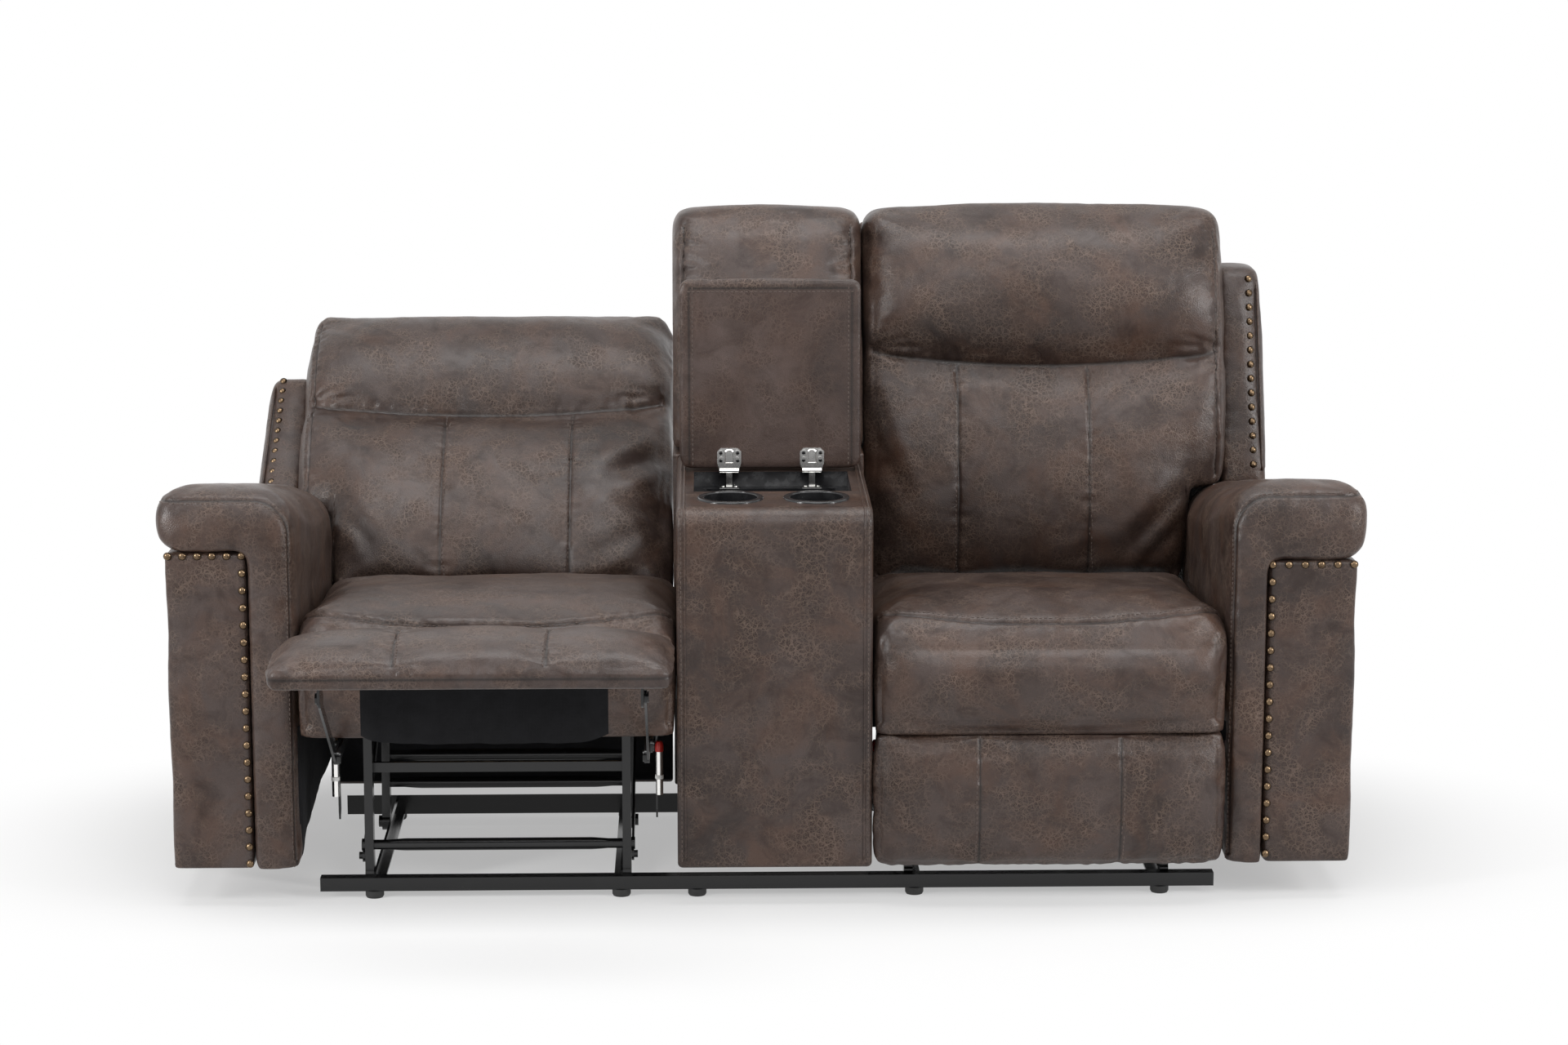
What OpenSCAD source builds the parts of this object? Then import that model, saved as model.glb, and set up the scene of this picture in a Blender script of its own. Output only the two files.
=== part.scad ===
// Reclining loveseat with a middle console: steel base, two padded arms, a console with cup
// wells and a storage well under a hinged lid, and two seats whose backs recline and whose
// footrests swing out on parallel links. X runs across, Y runs to the rear, Z runs up.
// The floor is at zero. Depths are measured from the plane of the arm fronts, and placed()
// moves the whole part so that the origin lies under the middle of its footprint.

/* [Overall] */
// Distance of the arm fronts in front of the origin
front_y = 351; // [150:1:450]
// Height of the backs
back_h = 1055; // [980:1:1120]
// Clear height under the arms and the console
skirt_h = 62; // [52:1:75]

/* [Arms] */
// Half of the width between the inner faces of the arms
bay_half = 742; // [725:1:780]
// Thickness of an arm below its roll
arm_w = 204; // [180:1:230]
// Overhang of the roll past the outer face
roll_out = 16; // [10:1:24]
// Height of the arm at its front
arm_h = 680; // [660:1:684]
// Fall of the arm top towards the rear, as a slope
arm_slope = 0.19; // [0.17:0.005:0.22]
// Height of the roll on the left arm
left_roll_h = 97; // [90:1:130]
// Height of the roll on the right arm
right_roll_h = 119; // [90:1:130]
// Width of the padded band down the inner edge of the left arm
left_band = 74; // [58:1:90]
// Width of the padded band down the inner edge of the right arm
right_band = 60; // [58:1:90]
// Depth of the outer panel behind the padded front edge
panel_recess = 7; // [4:1:12]

/* [Console] */
// Width of the console
console_w = 312; // [290:1:330]
// Shift of the console to the right of the middle
console_shift = 18; // [0:1:24]
// Height of the console top
console_h = 648; // [630:1:655]
// Diameter of a cup well
cup_d = 85; // [70:1:92]
// Depth of a cup well
cup_depth = 78; // [50:1:110]
// Distance between the cup wells
cup_pitch = 138; // [134:1:144]
// Depth of the storage well
well_depth = 300; // [150:1:420]
// Length of the lid
lid_l = 320; // [316:1:330]
// Thickness of the lid
lid_t = 44; // [34:1:50]

/* [Seats] */
// Gap between a seat and what stands beside it
side_gap = 3; // [2:1:8]
// Height of the seat at its front
seat_h = 478; // [462:1:486]
// Height of the seat at its rear
seat_rear_h = 437; // [430:1:446]
// Height of the lower lip of the seat front
lip_h = 284; // [283:1:288]
// Depth of the seat
seat_d = 505; // [490:1:515]

/* [Backs] */
// Upright lean of the back's front, as a slope
back_slope = 0.27; // [0.24:0.005:0.29]
// Full recline of a back in degrees
recline_turn = 38; // [25:1:40]
// Width of a back past the inner face of its arm
back_over = 70; // [60:1:80]
// Width of a side wing past the inner face of its arm
wing_over = 144; // [120:1:150]
// Height of the wings
wing_h = 943; // [900:1:960]

/* [Footrests] */
// Height of the footrest panel when closed
pad_h = 217; // [205:1:218]
// Thickness of the padded panel
pad_t = 46; // [44:1:56]
// Turn of the footrest panel from closed to open in degrees
pad_turn = 90; // [80:1:92]
// Length of the drive and steady links
drive_l = 232; // [226:1:234]
// Turn of the drive links from closed to open in degrees
drive_turn = 120; // [114:1:121]
// Length of the reach links
reach_l = 270; // [262:1:276]

/* [Base] */
// Shift of the base and its mechanisms to the right of the middle
base_shift = 8; // [0:1:12]
// Length of the front and rear rails
rail_l = 1450; // [1430:1:1460]
// Height of a glide
glide_h = 12; // [8:1:16]
// Diameter of a glide
glide_d = 30; // [24:1:36]
// Distance of the front rail behind the arm fronts
front_rail_y = 60; // [50:1:66]
// Gap between the seats' rear ends and the rear rail
rear_rail_gap = 7; // [3:1:15]

/* [Trim] */
// Diameter of a decorative nail head
nail_d = 13; // [9:1:14]
// Pitch of the nails down the arm fronts
arm_nail_pitch = 28; // [24:1:34]
// Pitch of the nails up the wings
wing_nail_pitch = 24.3; // [20:0.1:30]

/* [Pose] */
// Left footrest: 0 closed, 1 open
left_open_share = 1; // [0:1]
// Right footrest: 0 closed, 1 open
right_open_share = 0; // [0:1]
// Left back: 0 upright, 1 reclined
left_recline_share = 1; // [0:1]
// Right back: 0 upright, 1 reclined
right_recline_share = 0; // [0:1]
// Lid: 0 closed, 1 open
lid_open = 1; // [0:1]

/* [Hidden] */
SIDES = ["left", "right"];
PARTS = ["arm_panel", "arm_roll", "arm_nails", "seat_frame", "seat_cushion",
    "seat_springs", "seat_plates", "spring_tubes", "stands", "cross_tubes", "drive_links",
    "steady_links", "reach_links", "footrest_brackets", "footrest_board",
    "footrest_flap", "footrest_pad", "back_brackets", "back_frame", "back_cushion",
    "wing", "wing_nails", "rear_panel"];

leather = [0.30, 0.24, 0.22];
black = [0.05, 0.05, 0.055];
steel = [0.09, 0.09, 0.10];
nickel = [0.78, 0.77, 0.75];
brass = [0.42, 0.31, 0.18];
timber = [0.62, 0.48, 0.32];

over = 1;                  // overrun of a cut past the face it opens
touch = 0.4;               // gap between soft parts of different bodies
fit = 0.05;                // radial gap of a pin in its bore
side_play = 0.4;           // gap between two links on one pin
$fn = 48;

// Signed side: the left is negative
function sgn(side) = side == "left" ? -1 : 1;
function opening(side) = side == "left" ? left_open_share : right_open_share;
function leaning(side) = side == "left" ? left_recline_share : right_recline_share;
function ray(a) = [cos(a), sin(a)];
function mix(a, b, w) = a + (b - a) * w;
function last(v) = v[len(v) - 1];

// Points of an arc, both ends included
function arc(c, r, a0, a1, n) = [for (i = [0:n]) c + r * ray(mix(a0, a1, i / n))];

// Stations across a padded form of width w whose edges are rounded by r
edge_shares = [0, 0.12, 0.38, 0.85];
function stations(w, r, inner = []) = concat([for (s = edge_shares) s * r], inner,
    [for (i = [len(edge_shares) - 1:-1:0]) w - edge_shares[i] * r]);

// One corner of a polygon replaced by an arc that is tangent to both of its sides
function corner(a, b, c, r, n) = let (
    u = (a - b) / norm(a - b), v = (c - b) / norm(c - b),
    half = acos(u * v) / 2,
    mid = (u + v) / norm(u + v),
    o = b + mid * r / sin(half),
    s = b + u * r / tan(half), e = b + v * r / tan(half),
    a0 = atan2(s.y - o.y, s.x - o.x), a1 = atan2(e.y - o.y, e.x - o.x),
    turn = a1 - a0 > 180 ? a1 - a0 - 360 : a1 - a0 < -180 ? a1 - a0 + 360 : a1 - a0)
    arc(o, r, a0, a0 + turn, n);

// Polygon with rounded corners: points and one radius for each; a radius of 0 stays sharp
function rounded(p, radii, n = 5) = [for (i = [0:len(p) - 1]) let (
    m = len(p), r = radii[i])
    each r == 0 ? [p[i]] : corner(p[(i + m - 1) % m], p[i], p[(i + 1) % m], r, n)];

// Drawn-in depth of a rounded edge of radius r at distance d from the edge
function draw_in(d, r) = d >= r ? 0 : r - sqrt(max(0, r * r - (r - d) * (r - d)));

// Groove of a sewn channel: deep at the seam, gone at its width
function groove(d, depth, width) = abs(d) >= width ? 0 : depth * (1 - abs(d) / width);

// Closed skin through rings of equal length, each ring counter-clockwise seen from the
// side that the rings advance to; the end faces fan out from a hub
function centre(r) = [for (k = [0:2]) [for (p = r) p[k]] * [for (p = r) 1] / len(r)];
module loft(rings, hubs = []) {
    n = len(rings[0]);
    m = len(rings);
    ends = len(hubs) > 0 ? hubs : [centre(rings[0]), centre(last(rings))];
    points = concat([for (r = rings) each r], ends);
    skin = [for (i = [0:m - 2], j = [0:n - 1]) let (
        a = i * n + j, b = i * n + (j + 1) % n, c = b + n, d = a + n)
        each [[a, d, c], [a, c, b]]];
    caps = [for (j = [0:n - 1]) let (k = (j + 1) % n, e = (m - 1) * n)
        each [[m * n, j, k], [m * n + 1, e + k, e + j]]];
    polyhedron(points, concat(skin, caps), convexity = 8);
}

// Outline drawn in depth and height, extruded across from x
module across(x, t) translate([x, 0, 0]) rotate([90, 0, 90]) linear_extrude(t) children();

// Round bar across, from x0 to x1, at a point in depth and height
module rod(p, r, x0, x1) translate([x0, p.x, p.y]) rotate([0, 90, 0])
    cylinder(h = x1 - x0, r = r);

// Flat link with wide round eyes at its two ends, and a cranked one through several points
neck_share = 0.84;         // width of a link between its eyes as a share of the eyes' width
module band(a, b, w) {
    d = b - a;
    translate(a) rotate(atan2(d.y, d.x)) translate([0, -w / 2]) square([norm(d), w]);
}
module crank(p, w) {
    for (i = [1:len(p) - 1]) band(p[i - 1], p[i], w * neck_share);
    for (c = p) translate(c) circle(d = w);
}
module link(a, b, w) crank([a, b], w);

module mirrored(side) if (side == "left") mirror([1, 0, 0]) children(); else children();
module placed() translate([0, -front_y, 0]) children();

// Rails and glides
rail_w = 22;
rail_wall = 2;
rear_rail_h = 34;
rear_rail_d = 30;
side_rail_h = 26;
side_rail_w = 13;
side_rail_t = 4;
track_pitch = 876;         // distance between the middles of the two mechanisms
track_half = 200;          // distance of a side rail from the middle of its mechanism
console_glide_x = -107;
glide_rim = 3;
side_rail_y0 = front_rail_y + rail_w / 2;
rear_rail_y = seat_d + rear_rail_gap;
function track_x(side) = track_pitch / 2 + sgn(side) * base_shift;
glide_xs = concat([for (s = [-1, 1], t = [-1, 1])
    base_shift + s * track_pitch / 2 + t * track_half], [console_glide_x]);

module front_rail() color(steel)
    translate([base_shift - rail_l / 2, front_rail_y - rail_w / 2, glide_h])
    difference() {
        cube([rail_l, rail_w, rail_w]);
        translate([-over, rail_wall, rail_wall])
            cube([rail_l + 2 * over, rail_w - 2 * rail_wall, rail_w - 2 * rail_wall]);
    }

module rear_rail() color(steel) across(base_shift - rail_l / 2, rail_l)
    translate([rear_rail_y, glide_h]) {
        square([rear_rail_d, rail_wall]);
        square([rail_wall, rear_rail_h]);
    }

// Angle rails that run from the front rail to the rear rail under each mechanism
module side_rails() color(steel) for (s = [-1, 1], t = [-1, 1])
    translate([base_shift + s * track_pitch / 2 + t * track_half, side_rail_y0, glide_h])
        mirror([t > 0 ? 1 : 0, 0, 0]) {
            translate([-side_rail_t / 2, 0, 0])
                cube([side_rail_t, rear_rail_y - side_rail_y0, side_rail_h]);
            cube([side_rail_w, rear_rail_y - side_rail_y0, side_rail_t]);
        }

module glides() color(black)
    for (x = glide_xs, y = [front_rail_y, rear_rail_y + rear_rail_d / 2])
        translate([x, y, 0]) {
            cylinder(h = glide_rim, d1 = glide_d - glide_rim, d2 = glide_d);
            translate([0, 0, glide_rim]) cylinder(h = glide_h - glide_rim, d = glide_d);
        }

// Recline pivot, and the circle that the wings clear as they swing over the arms
pivot_gap = 16;
pivot = [seat_d + pivot_gap, 382];
wing_r = 195;
arm_gap = 8;
arm_r = wing_r - arm_gap;
arm_run = 69;
arm_end = pivot.x + arm_run; // depth at which the arm top drops to that circle
crest_y = 50;              // depth of the highest line of the arm
crest_drop = 32;           // drop of the roll from there to the arm's front
arm_rear_a = -24;          // angle on the circle where the arm's rear face starts
arm_rear_y = pivot.x + arm_r * cos(arm_rear_a);
function roll_h(side) = side == "left" ? left_roll_h : right_roll_h;
function band_x(side) = bay_half + (side == "left" ? left_band : right_band);
function arm_top(y) = y < crest_y
    ? arm_h - crest_drop * pow(1 - y / crest_y, 2)
    : y <= arm_end ? arm_h - (y - crest_y) * arm_slope
    : pivot.y + sqrt(max(0, arm_r * arm_r - (y - pivot.x) * (y - pivot.x)));

// Outer panel of the arm: a box under the roll, recessed behind the padded front edge
roll_min_h = 16;
rear_steps = 6;
rear_ys = [for (i = [0:rear_steps]) mix(arm_end + roll_min_h, arm_rear_y,
    pow(i / rear_steps, 0.6))];
function roll_under(side, y) = min(arm_h - roll_h(side), arm_top(y) - roll_min_h);
module arm_panel(side) color(leather) mirrored(side)
    across(band_x(side) + touch, bay_half + arm_w - band_x(side) - touch) polygon(concat(
        [[panel_recess, skirt_h], [arm_rear_y, skirt_h]],
        [for (i = [rear_steps:-1:0]) [rear_ys[i], roll_under(side, rear_ys[i]) - touch]],
        [[panel_recess, arm_h - roll_h(side) - touch]]));

// Padded roll: the top of the arm and the band down its inner edge, in one skin
roll_edge = 26;            // rounding of the front edge
roll_r = 34;               // rounding of the outer edges of the roll
inner_r = 56;              // rounding of the inner top edge
round_share = 0.45;        // largest share of the roll's height that a rounding takes
band_rise = 42;            // rise of the band's lower edge behind the front
band_rise_y0 = 30;
band_rise_y1 = 330;
roll_shares = [0.085, 0.2, 0.5, 0.81, 1];
function band_low(y) = skirt_h
    + band_rise * sin(90 * min(1, max(0, (y - band_rise_y0) / (band_rise_y1 - band_rise_y0))));
function roll_ring(side, y, inset) = let (
    top = arm_top(y) - inset,
    under = roll_under(side, y),
    left = bay_half + inset,
    right = bay_half + arm_w + roll_out - inset,
    band = band_x(side),
    ro = min(roll_r, (top - under) * round_share))
    [for (p = rounded([[left, band_low(y)], [left, top], [right, top], [right, under],
        [band, under], [band, band_low(y)]], [0, inner_r, ro, ro, 0, 0], 4)) [p.x, y, p.y]];
function roll_hub(side, y) = [(bay_half + band_x(side)) / 2, y,
    (arm_top(y) + roll_under(side, y)) / 2];
module arm_roll(side) color(leather) mirrored(side) loft(concat(
    [for (s = edge_shares) roll_ring(side, s * roll_edge, draw_in(s * roll_edge, roll_edge))],
    [for (s = roll_shares) roll_ring(side, s * arm_end, 0)],
    [for (y = rear_ys) roll_ring(side, y, 0)]),
    [roll_hub(side, 0), roll_hub(side, arm_rear_y)]);

// Domed nails along the top and down the inner edge of the recessed panel
nail_rise = 4;
nail_gap = 1;
nail_row_share = 0.9;      // pitch of the short row as a share of the long one's
module nail(p, lean = 0) translate(p) rotate([90 - lean, 0, 0]) intersection() {
    r = (pow(nail_d / 2, 2) + pow(nail_rise, 2)) / (2 * nail_rise);
    translate([0, 0, nail_rise - r]) sphere(r = r, $fn = 32);
    cylinder(h = nail_rise, d = nail_d, $fn = 32);
}
module arm_nails(side) color(brass) mirrored(side) {
    x0 = band_x(side) + nail_d / 2 + nail_gap;
    z0 = arm_h - roll_h(side) - nail_d / 2 - nail_gap;
    x1 = bay_half + arm_w - nail_d / 2;
    rows = floor((z0 - skirt_h) / arm_nail_pitch);
    cols = round((x1 - x0) / (arm_nail_pitch * nail_row_share));
    for (i = [0:rows]) nail([x0, panel_recess, z0 - i * arm_nail_pitch]);
    for (i = [1:cols]) nail([mix(x0, x1, i / cols), panel_recess, z0]);
}

// Steel angles that tie the arms and the console to the seat plates
bracket_t = 4;
bracket_w = 36;
bracket_h = 40;
bracket_y_shares = [0.66, 0.92];
plate_top = 300;           // top of the seat plates, where the seat frames rest
plate_out = 240;           // outer face of a seat plate from the middle of its mechanism
module tie(x0, x1) for (s = bracket_y_shares) {
    end = x1 > x0 ? x1 - bracket_t : x1;
    translate([min(x0, x1), s * seat_d, plate_top - bracket_t])
        cube([abs(x1 - x0), bracket_w, bracket_t]);
    translate([end, s * seat_d, plate_top - bracket_h])
        cube([bracket_t, bracket_w, bracket_h - bracket_t]);
}
module arm_brackets() color(steel) for (side = SIDES) mirrored(side)
    tie(track_x(side) + plate_out, bay_half);
module console_brackets() color(steel) for (side = SIDES) mirrored(side)
    tie(track_x(side) - plate_out, console_w / 2 + sgn(side) * console_shift);

// Console: leather body with bores for the cups and a pocket for the tray
console_front = -5;
console_gap = 5;           // the console body ends this far before the seats' rear ends
console_d = seat_d - console_gap;
console_r = 30;
console_low_r = 8;
cup_y = 98;
cup_wall = 2;
cup_rim = 11;
cup_rim_t = 3;
pocket_wall = 28;
pocket_gap = 6;            // between the cup rims and the pocket
pocket_y0 = cup_y + cup_d / 2 + cup_rim + pocket_gap;
pocket_y1 = 338;
pocket_drop = 28;
tray_t = 3;
tray_ledge = 18;
console_x0 = console_shift - console_w / 2;
function cup_x(s) = console_shift + s * cup_pitch / 2;
module console_body() color(leather) difference() {
    across(console_x0, console_w) polygon(rounded(
        [[console_front, skirt_h], [console_d, skirt_h], [console_d, console_h],
        [console_front, console_h]], [console_low_r, 0, 0, console_r], 8));
    for (s = [-1, 1]) translate([cup_x(s), cup_y, console_h - cup_depth - cup_wall - touch])
        cylinder(h = cup_depth + cup_wall + touch + over, d = cup_d + 2 * cup_wall + 2 * touch);
    translate([console_x0 + pocket_wall, pocket_y0, console_h - pocket_drop])
        cube([console_w - 2 * pocket_wall, pocket_y1 - pocket_y0, pocket_drop + over]);
    translate([console_x0 + pocket_wall + tray_ledge, pocket_y0 + tray_ledge,
        console_h - pocket_drop - well_depth])
        cube([console_w - 2 * pocket_wall - 2 * tray_ledge,
            pocket_y1 - pocket_y0 - 2 * tray_ledge, well_depth + over]);
}

// Rear box of the console, which carries its padded back and is as wide behind the seats
rear_box_d = 190;
module console_rear() color(leather) {
    wide_y = seat_d + console_gap;
    translate([console_x0, console_d, skirt_h])
        cube([console_w, rear_box_d, console_h - skirt_h]);
    translate([console_shift - tower_w / 2, wide_y, skirt_h])
        cube([tower_w, console_d + rear_box_d - wide_y, console_h - skirt_h]);
}

// Black tray: a ledge round the storage well and the well's own thin walls
tray_d = pocket_y1 - pocket_y0 - 2 * touch;
tray_w = console_w - 2 * pocket_wall - 2 * touch;
well_w = tray_w - 2 * tray_ledge - 2 * tray_t;
well_d = tray_d - 2 * tray_ledge - 2 * tray_t;
tray_z = console_h - pocket_drop;
module console_tray() color(black)
    translate([console_shift, pocket_y0 + touch + tray_d / 2, tray_z]) difference() {
        union() {
            translate([-tray_w / 2, -tray_d / 2, 0]) cube([tray_w, tray_d, tray_t]);
            translate([-well_w / 2 - tray_t, -well_d / 2 - tray_t, tray_t - well_depth])
                cube([well_w + 2 * tray_t, well_d + 2 * tray_t, well_depth - tray_t]);
        }
        translate([-well_w / 2, -well_d / 2, 2 * tray_t - well_depth])
            cube([well_w, well_d, well_depth]);
    }

// Cup holders: turned cups with a rolled rim on the console top
module cup_holders() color(black) for (s = [-1, 1])
    translate([cup_x(s), cup_y, console_h]) rotate_extrude() {
        r = cup_d / 2;
        difference() {
            translate([0, -cup_depth - cup_wall]) square([r + cup_wall, cup_depth + cup_wall]);
            translate([-over, -cup_depth]) square([r + over, cup_depth + over]);
        }
        difference() {
            translate([r, 0]) square([cup_rim - cup_rim_t, cup_rim_t]);
            translate([r, cup_rim_t]) circle(r = cup_wall);
        }
        intersection() {
            translate([r + cup_rim - cup_rim_t, 0]) circle(r = cup_rim_t);
            translate([r, 0]) square([cup_rim, cup_rim_t]);
        }
    }

// Lid: it stands open behind the storage well and closes forward over the cups
lid_w = 302;
hinge_back = 8;            // from the hinge axis to the pocket's rear wall
hinge_rise = 3;
lid_axis = [pocket_y1 - hinge_back, console_h + hinge_rise];
lid_gap = 4;               // from the hinge axis to the underside of the lid
lid_clear = 1;             // from the hinge axis up to the lid's rear edge
lid_edge = 14;
lid_low_r = 4;
module in_lid() turned(lid_axis, lid_open ? 0 : 90) translate([0, -lid_axis.x, -lid_axis.y])
    children();
function lid_ring(x, inset) = let (
    y0 = lid_axis.x + lid_gap, y1 = lid_axis.x + lid_gap + lid_t - inset,
    z0 = lid_axis.y + lid_clear + inset, z1 = lid_axis.y + lid_clear + lid_l - inset)
    [for (p = rounded([[y0, z0], [y1, z0], [y1, z1], [y0, z1]],
        [lid_low_r, lid_edge, lid_edge, lid_low_r], 3)) [x, p.x, p.y]];
module lid() color(leather) in_lid() loft([for (x = stations(lid_w, lid_edge))
    lid_ring(console_shift - lid_w / 2 + x, draw_in(min(x, lid_w - x), lid_edge))]);

// Lid hinges: a leaf with two knuckles on the lid, and a base with the pin on the tray
leaf_w = 40;
leaf_h = 38;
leaf_t = 1.6;
leaf_chamfer = 6;
knuckle_r = 3.4;
knuckle_w = 10;
knuckle_gap = 0.4;
pin_r = 1.6;
strap_w = 32;
strap_t = 2.4;
screw_d = 5;
screw_rise = 1.6;
leaf_shares = [0.55, 0.85];
module lid_hinge_leaves() color(nickel) in_lid() for (s = [-1, 1]) translate([cup_x(s), 0, 0]) {
    face = lid_axis.x + lid_gap;
    difference() {
        union() {
            translate([0, face, lid_axis.y]) rotate([90, 0, 0]) linear_extrude(leaf_t)
                polygon([[-strap_w / 2, 0], [strap_w / 2, 0], [leaf_w / 2, leaf_h / 3],
                    [leaf_w / 2, leaf_h - leaf_chamfer], [leaf_w / 2 - leaf_chamfer, leaf_h],
                    [leaf_chamfer - leaf_w / 2, leaf_h], [-leaf_w / 2, leaf_h - leaf_chamfer],
                    [-leaf_w / 2, leaf_h / 3]]);
            rod(lid_axis, knuckle_r, -strap_w / 2, strap_w / 2);
        }
        rod(lid_axis, knuckle_r + knuckle_gap, -knuckle_w / 2 - knuckle_gap,
            knuckle_w / 2 + knuckle_gap);
        rod(lid_axis, pin_r + fit, -strap_w / 2 - over, strap_w / 2 + over);
    }
    for (x = [-1, 1], z = leaf_shares)
        translate([x * leaf_w / 3, face - leaf_t, lid_axis.y + z * leaf_h])
            rotate([90, 0, 0]) cylinder(h = screw_rise, d = screw_d);
}
module lid_hinge_bases() color(nickel) for (s = [-1, 1]) translate([cup_x(s), 0, 0]) {
    z0 = tray_z + tray_t;
    rod(lid_axis, knuckle_r, -knuckle_w / 2, knuckle_w / 2);
    rod(lid_axis, pin_r, -strap_w / 2, strap_w / 2);
    translate([-knuckle_w / 2, lid_axis.x - strap_t / 2, z0])
        cube([knuckle_w, strap_t, lid_axis.y - z0]);
    translate([-strap_w / 2, pocket_y1 - touch - tray_ledge, z0])
        cube([strap_w, tray_ledge - touch, strap_t]);
    for (x = [-1, 1]) translate([x * strap_w / 3, pocket_y1 - tray_ledge * 0.72, z0])
        cylinder(h = strap_t + screw_rise, d = screw_d);
}

// Padded back of the console, fixed between the seat backs
tower_w = 328;
tower_r = 30;
tower_t = 150;
tower_gap = 8;             // between its foot and the front of the rear box
tower_bulge = 14;
tower_drop = 4;            // below the tops of the seat backs
tower_hollow = 8;
tower_radii = [0, 50, 58, 120, 10];
function tower_ring(x, inset, bulge) = let (
    z0 = console_h + touch, z1 = back_h - tower_drop - inset + bulge / 3,
    y0 = console_d + tower_gap, y1 = y0 + back_slope * (z1 - z0))
    [for (p = rounded([[y0 + tower_t, z0], [y1 + tower_t, z1], [y1 + inset - bulge, z1],
        [(y0 + y1) / 2 + inset - bulge - tower_hollow, (z0 + z1) / 2], [y0 + inset - bulge, z0]],
        tower_radii, 4)) [x, p.x, p.y]];
module console_back() color(leather) loft([for (x = stations(tower_w, tower_r, [tower_w / 2]))
    tower_ring(console_shift - tower_w / 2 + x, draw_in(min(x, tower_w - x), tower_r),
        tower_bulge * sin(180 * x / tower_w))]);

// Seats, drawn for the right and mirrored for the left
function seat_in(side) = console_w / 2 + sgn(side) * console_shift + side_gap;
function seat_w(side) = seat_out - seat_in(side);
seat_out = bay_half - side_gap;
frame_t = 45;              // height of the seat frame's timber
frame_w = 38;
frame_y0 = 22;
frame_y1 = seat_d - console_gap;
frame_in = 10;             // the frame stops short of the cushion's sides
frame_top = plate_top + frame_t;
module seat_frame(side) color(timber) mirrored(side)
    translate([seat_in(side) + frame_in, frame_y0, plate_top]) difference() {
        w = seat_w(side) - 2 * frame_in;
        cube([w, frame_y1 - frame_y0, frame_t]);
        translate([frame_w, frame_w, -over])
            cube([w - 2 * frame_w, frame_y1 - frame_y0 - 2 * frame_w, frame_t + 2 * over]);
    }

// Zigzag springs across the frame: bars joined by half-round bends
spring_n = 5;
spring_pitch = 26;
spring_w = 44;
spring_wire = 3.2;
spring_l = frame_y1 - frame_y0 - 2 * frame_w;
spring_turns = floor(spring_l / spring_pitch);
spring_tail = (spring_l - spring_turns * spring_pitch) / 2;
module zigzag() {
    for (i = [0:spring_turns]) translate([-spring_w / 2, i * spring_pitch - spring_wire / 2])
        square([spring_w, spring_wire]);
    for (i = [0:spring_turns - 1]) mirror([i % 2, 0]) intersection() {
        translate([spring_w / 2, (i + 0.5) * spring_pitch]) difference() {
            circle(d = spring_pitch + spring_wire);
            circle(d = spring_pitch - spring_wire);
        }
        translate([spring_w / 2, (i - 0.5) * spring_pitch])
            square([2 * spring_pitch, 2 * spring_pitch]);
    }
    for (y = [-spring_tail, spring_turns * spring_pitch]) translate([-spring_wire / 2, y])
        square([spring_wire, spring_tail]);
}
module seat_springs(side) color(steel) mirrored(side) for (i = [1:spring_n])
    translate([mix(seat_in(side) + frame_in + frame_w, seat_out - frame_in - frame_w,
        i / (spring_n + 1)), frame_y0 + frame_w + spring_tail, frame_top - spring_wire])
        linear_extrude(spring_wire) zigzag();

// Seat cushion with its rounded front that hangs over the frame
nose = -20;                // front of the cushion
nose_back = 20;            // rear of the part that hangs down
nose_r = 34;
belly = 10;                // fullness of the front
lip_in = 8;                // the lower lip lies this far behind the front
seat_edge = 26;
seat_crown = 9;
seat_radii = [0, 26, 300, 90, 34, 40, 14, 4, 0];
function seat_ring(x, inset, crown) = let (f = nose + inset * 0.7)
    [for (p = rounded([[seat_d, frame_top + touch], [seat_d, seat_rear_h - inset + crown / 2],
    [seat_d / 2, (seat_h + seat_rear_h) / 2 - inset + crown * 1.4],
    [seat_d * 0.1, seat_h - inset + crown], [f - crown / 4, seat_h - nose_r * 0.8 - inset * 0.6],
    [f - crown / 2 - belly * 0.2, (seat_h + lip_h) / 2], [f + lip_in, lip_h],
    [nose_back, lip_h], [nose_back, frame_top + touch]], seat_radii, 4)) [x, p.x, p.y]];
module seat_cushion(side) color(leather) mirrored(side) {
    w = seat_w(side);
    hub = [for (x = [seat_in(side), seat_out]) [x, 0, (frame_top + seat_h) / 2]];
    loft([for (x = stations(w, seat_edge, [w * 0.18, w / 2, w * 0.82]))
        seat_ring(seat_in(side) + x, draw_in(min(x, w - x), seat_edge),
            seat_crown * sin(180 * x / w))], hub);
}

// Linkage pivots of the footrest in depth and height, with the footrest closed
drive_pivot = [180, 266];
steady_off = [50, 4];      // the steady link's pivots lie this far from the drive link's
closed_a = -59;            // direction of the drive link when closed
reach_a = 146;             // direction of the reach link, which never turns
link_w = 22;
link_t = 4;
rivet_r = 5;
rivet_head_r = 9;
rivet_head_t = 2.4;
drive_x = plate_out + side_play;
reach_x = drive_x + link_t + side_play;
steady_x = reach_x + link_t + side_play;
function knee(t) = drive_pivot + drive_l * ray(closed_a - drive_turn * t);
function toe(t) = knee(t) + reach_l * ray(reach_a);
module both_ends(side) for (s = [-1, 1]) translate([track_x(side), 0, 0])
    mirror([s < 0 ? 1 : 0, 0, 0]) children();
module rivet(p, x0, x1) {
    rod(p, rivet_r, x0, x1);
    rod(p, rivet_head_r, x1, x1 + rivet_head_t);
}
module plate_with_bore(x, a, b) across(x, link_t) difference() {
    link(a, b, link_w);
    translate(a) circle(r = rivet_r + fit);
}

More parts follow.
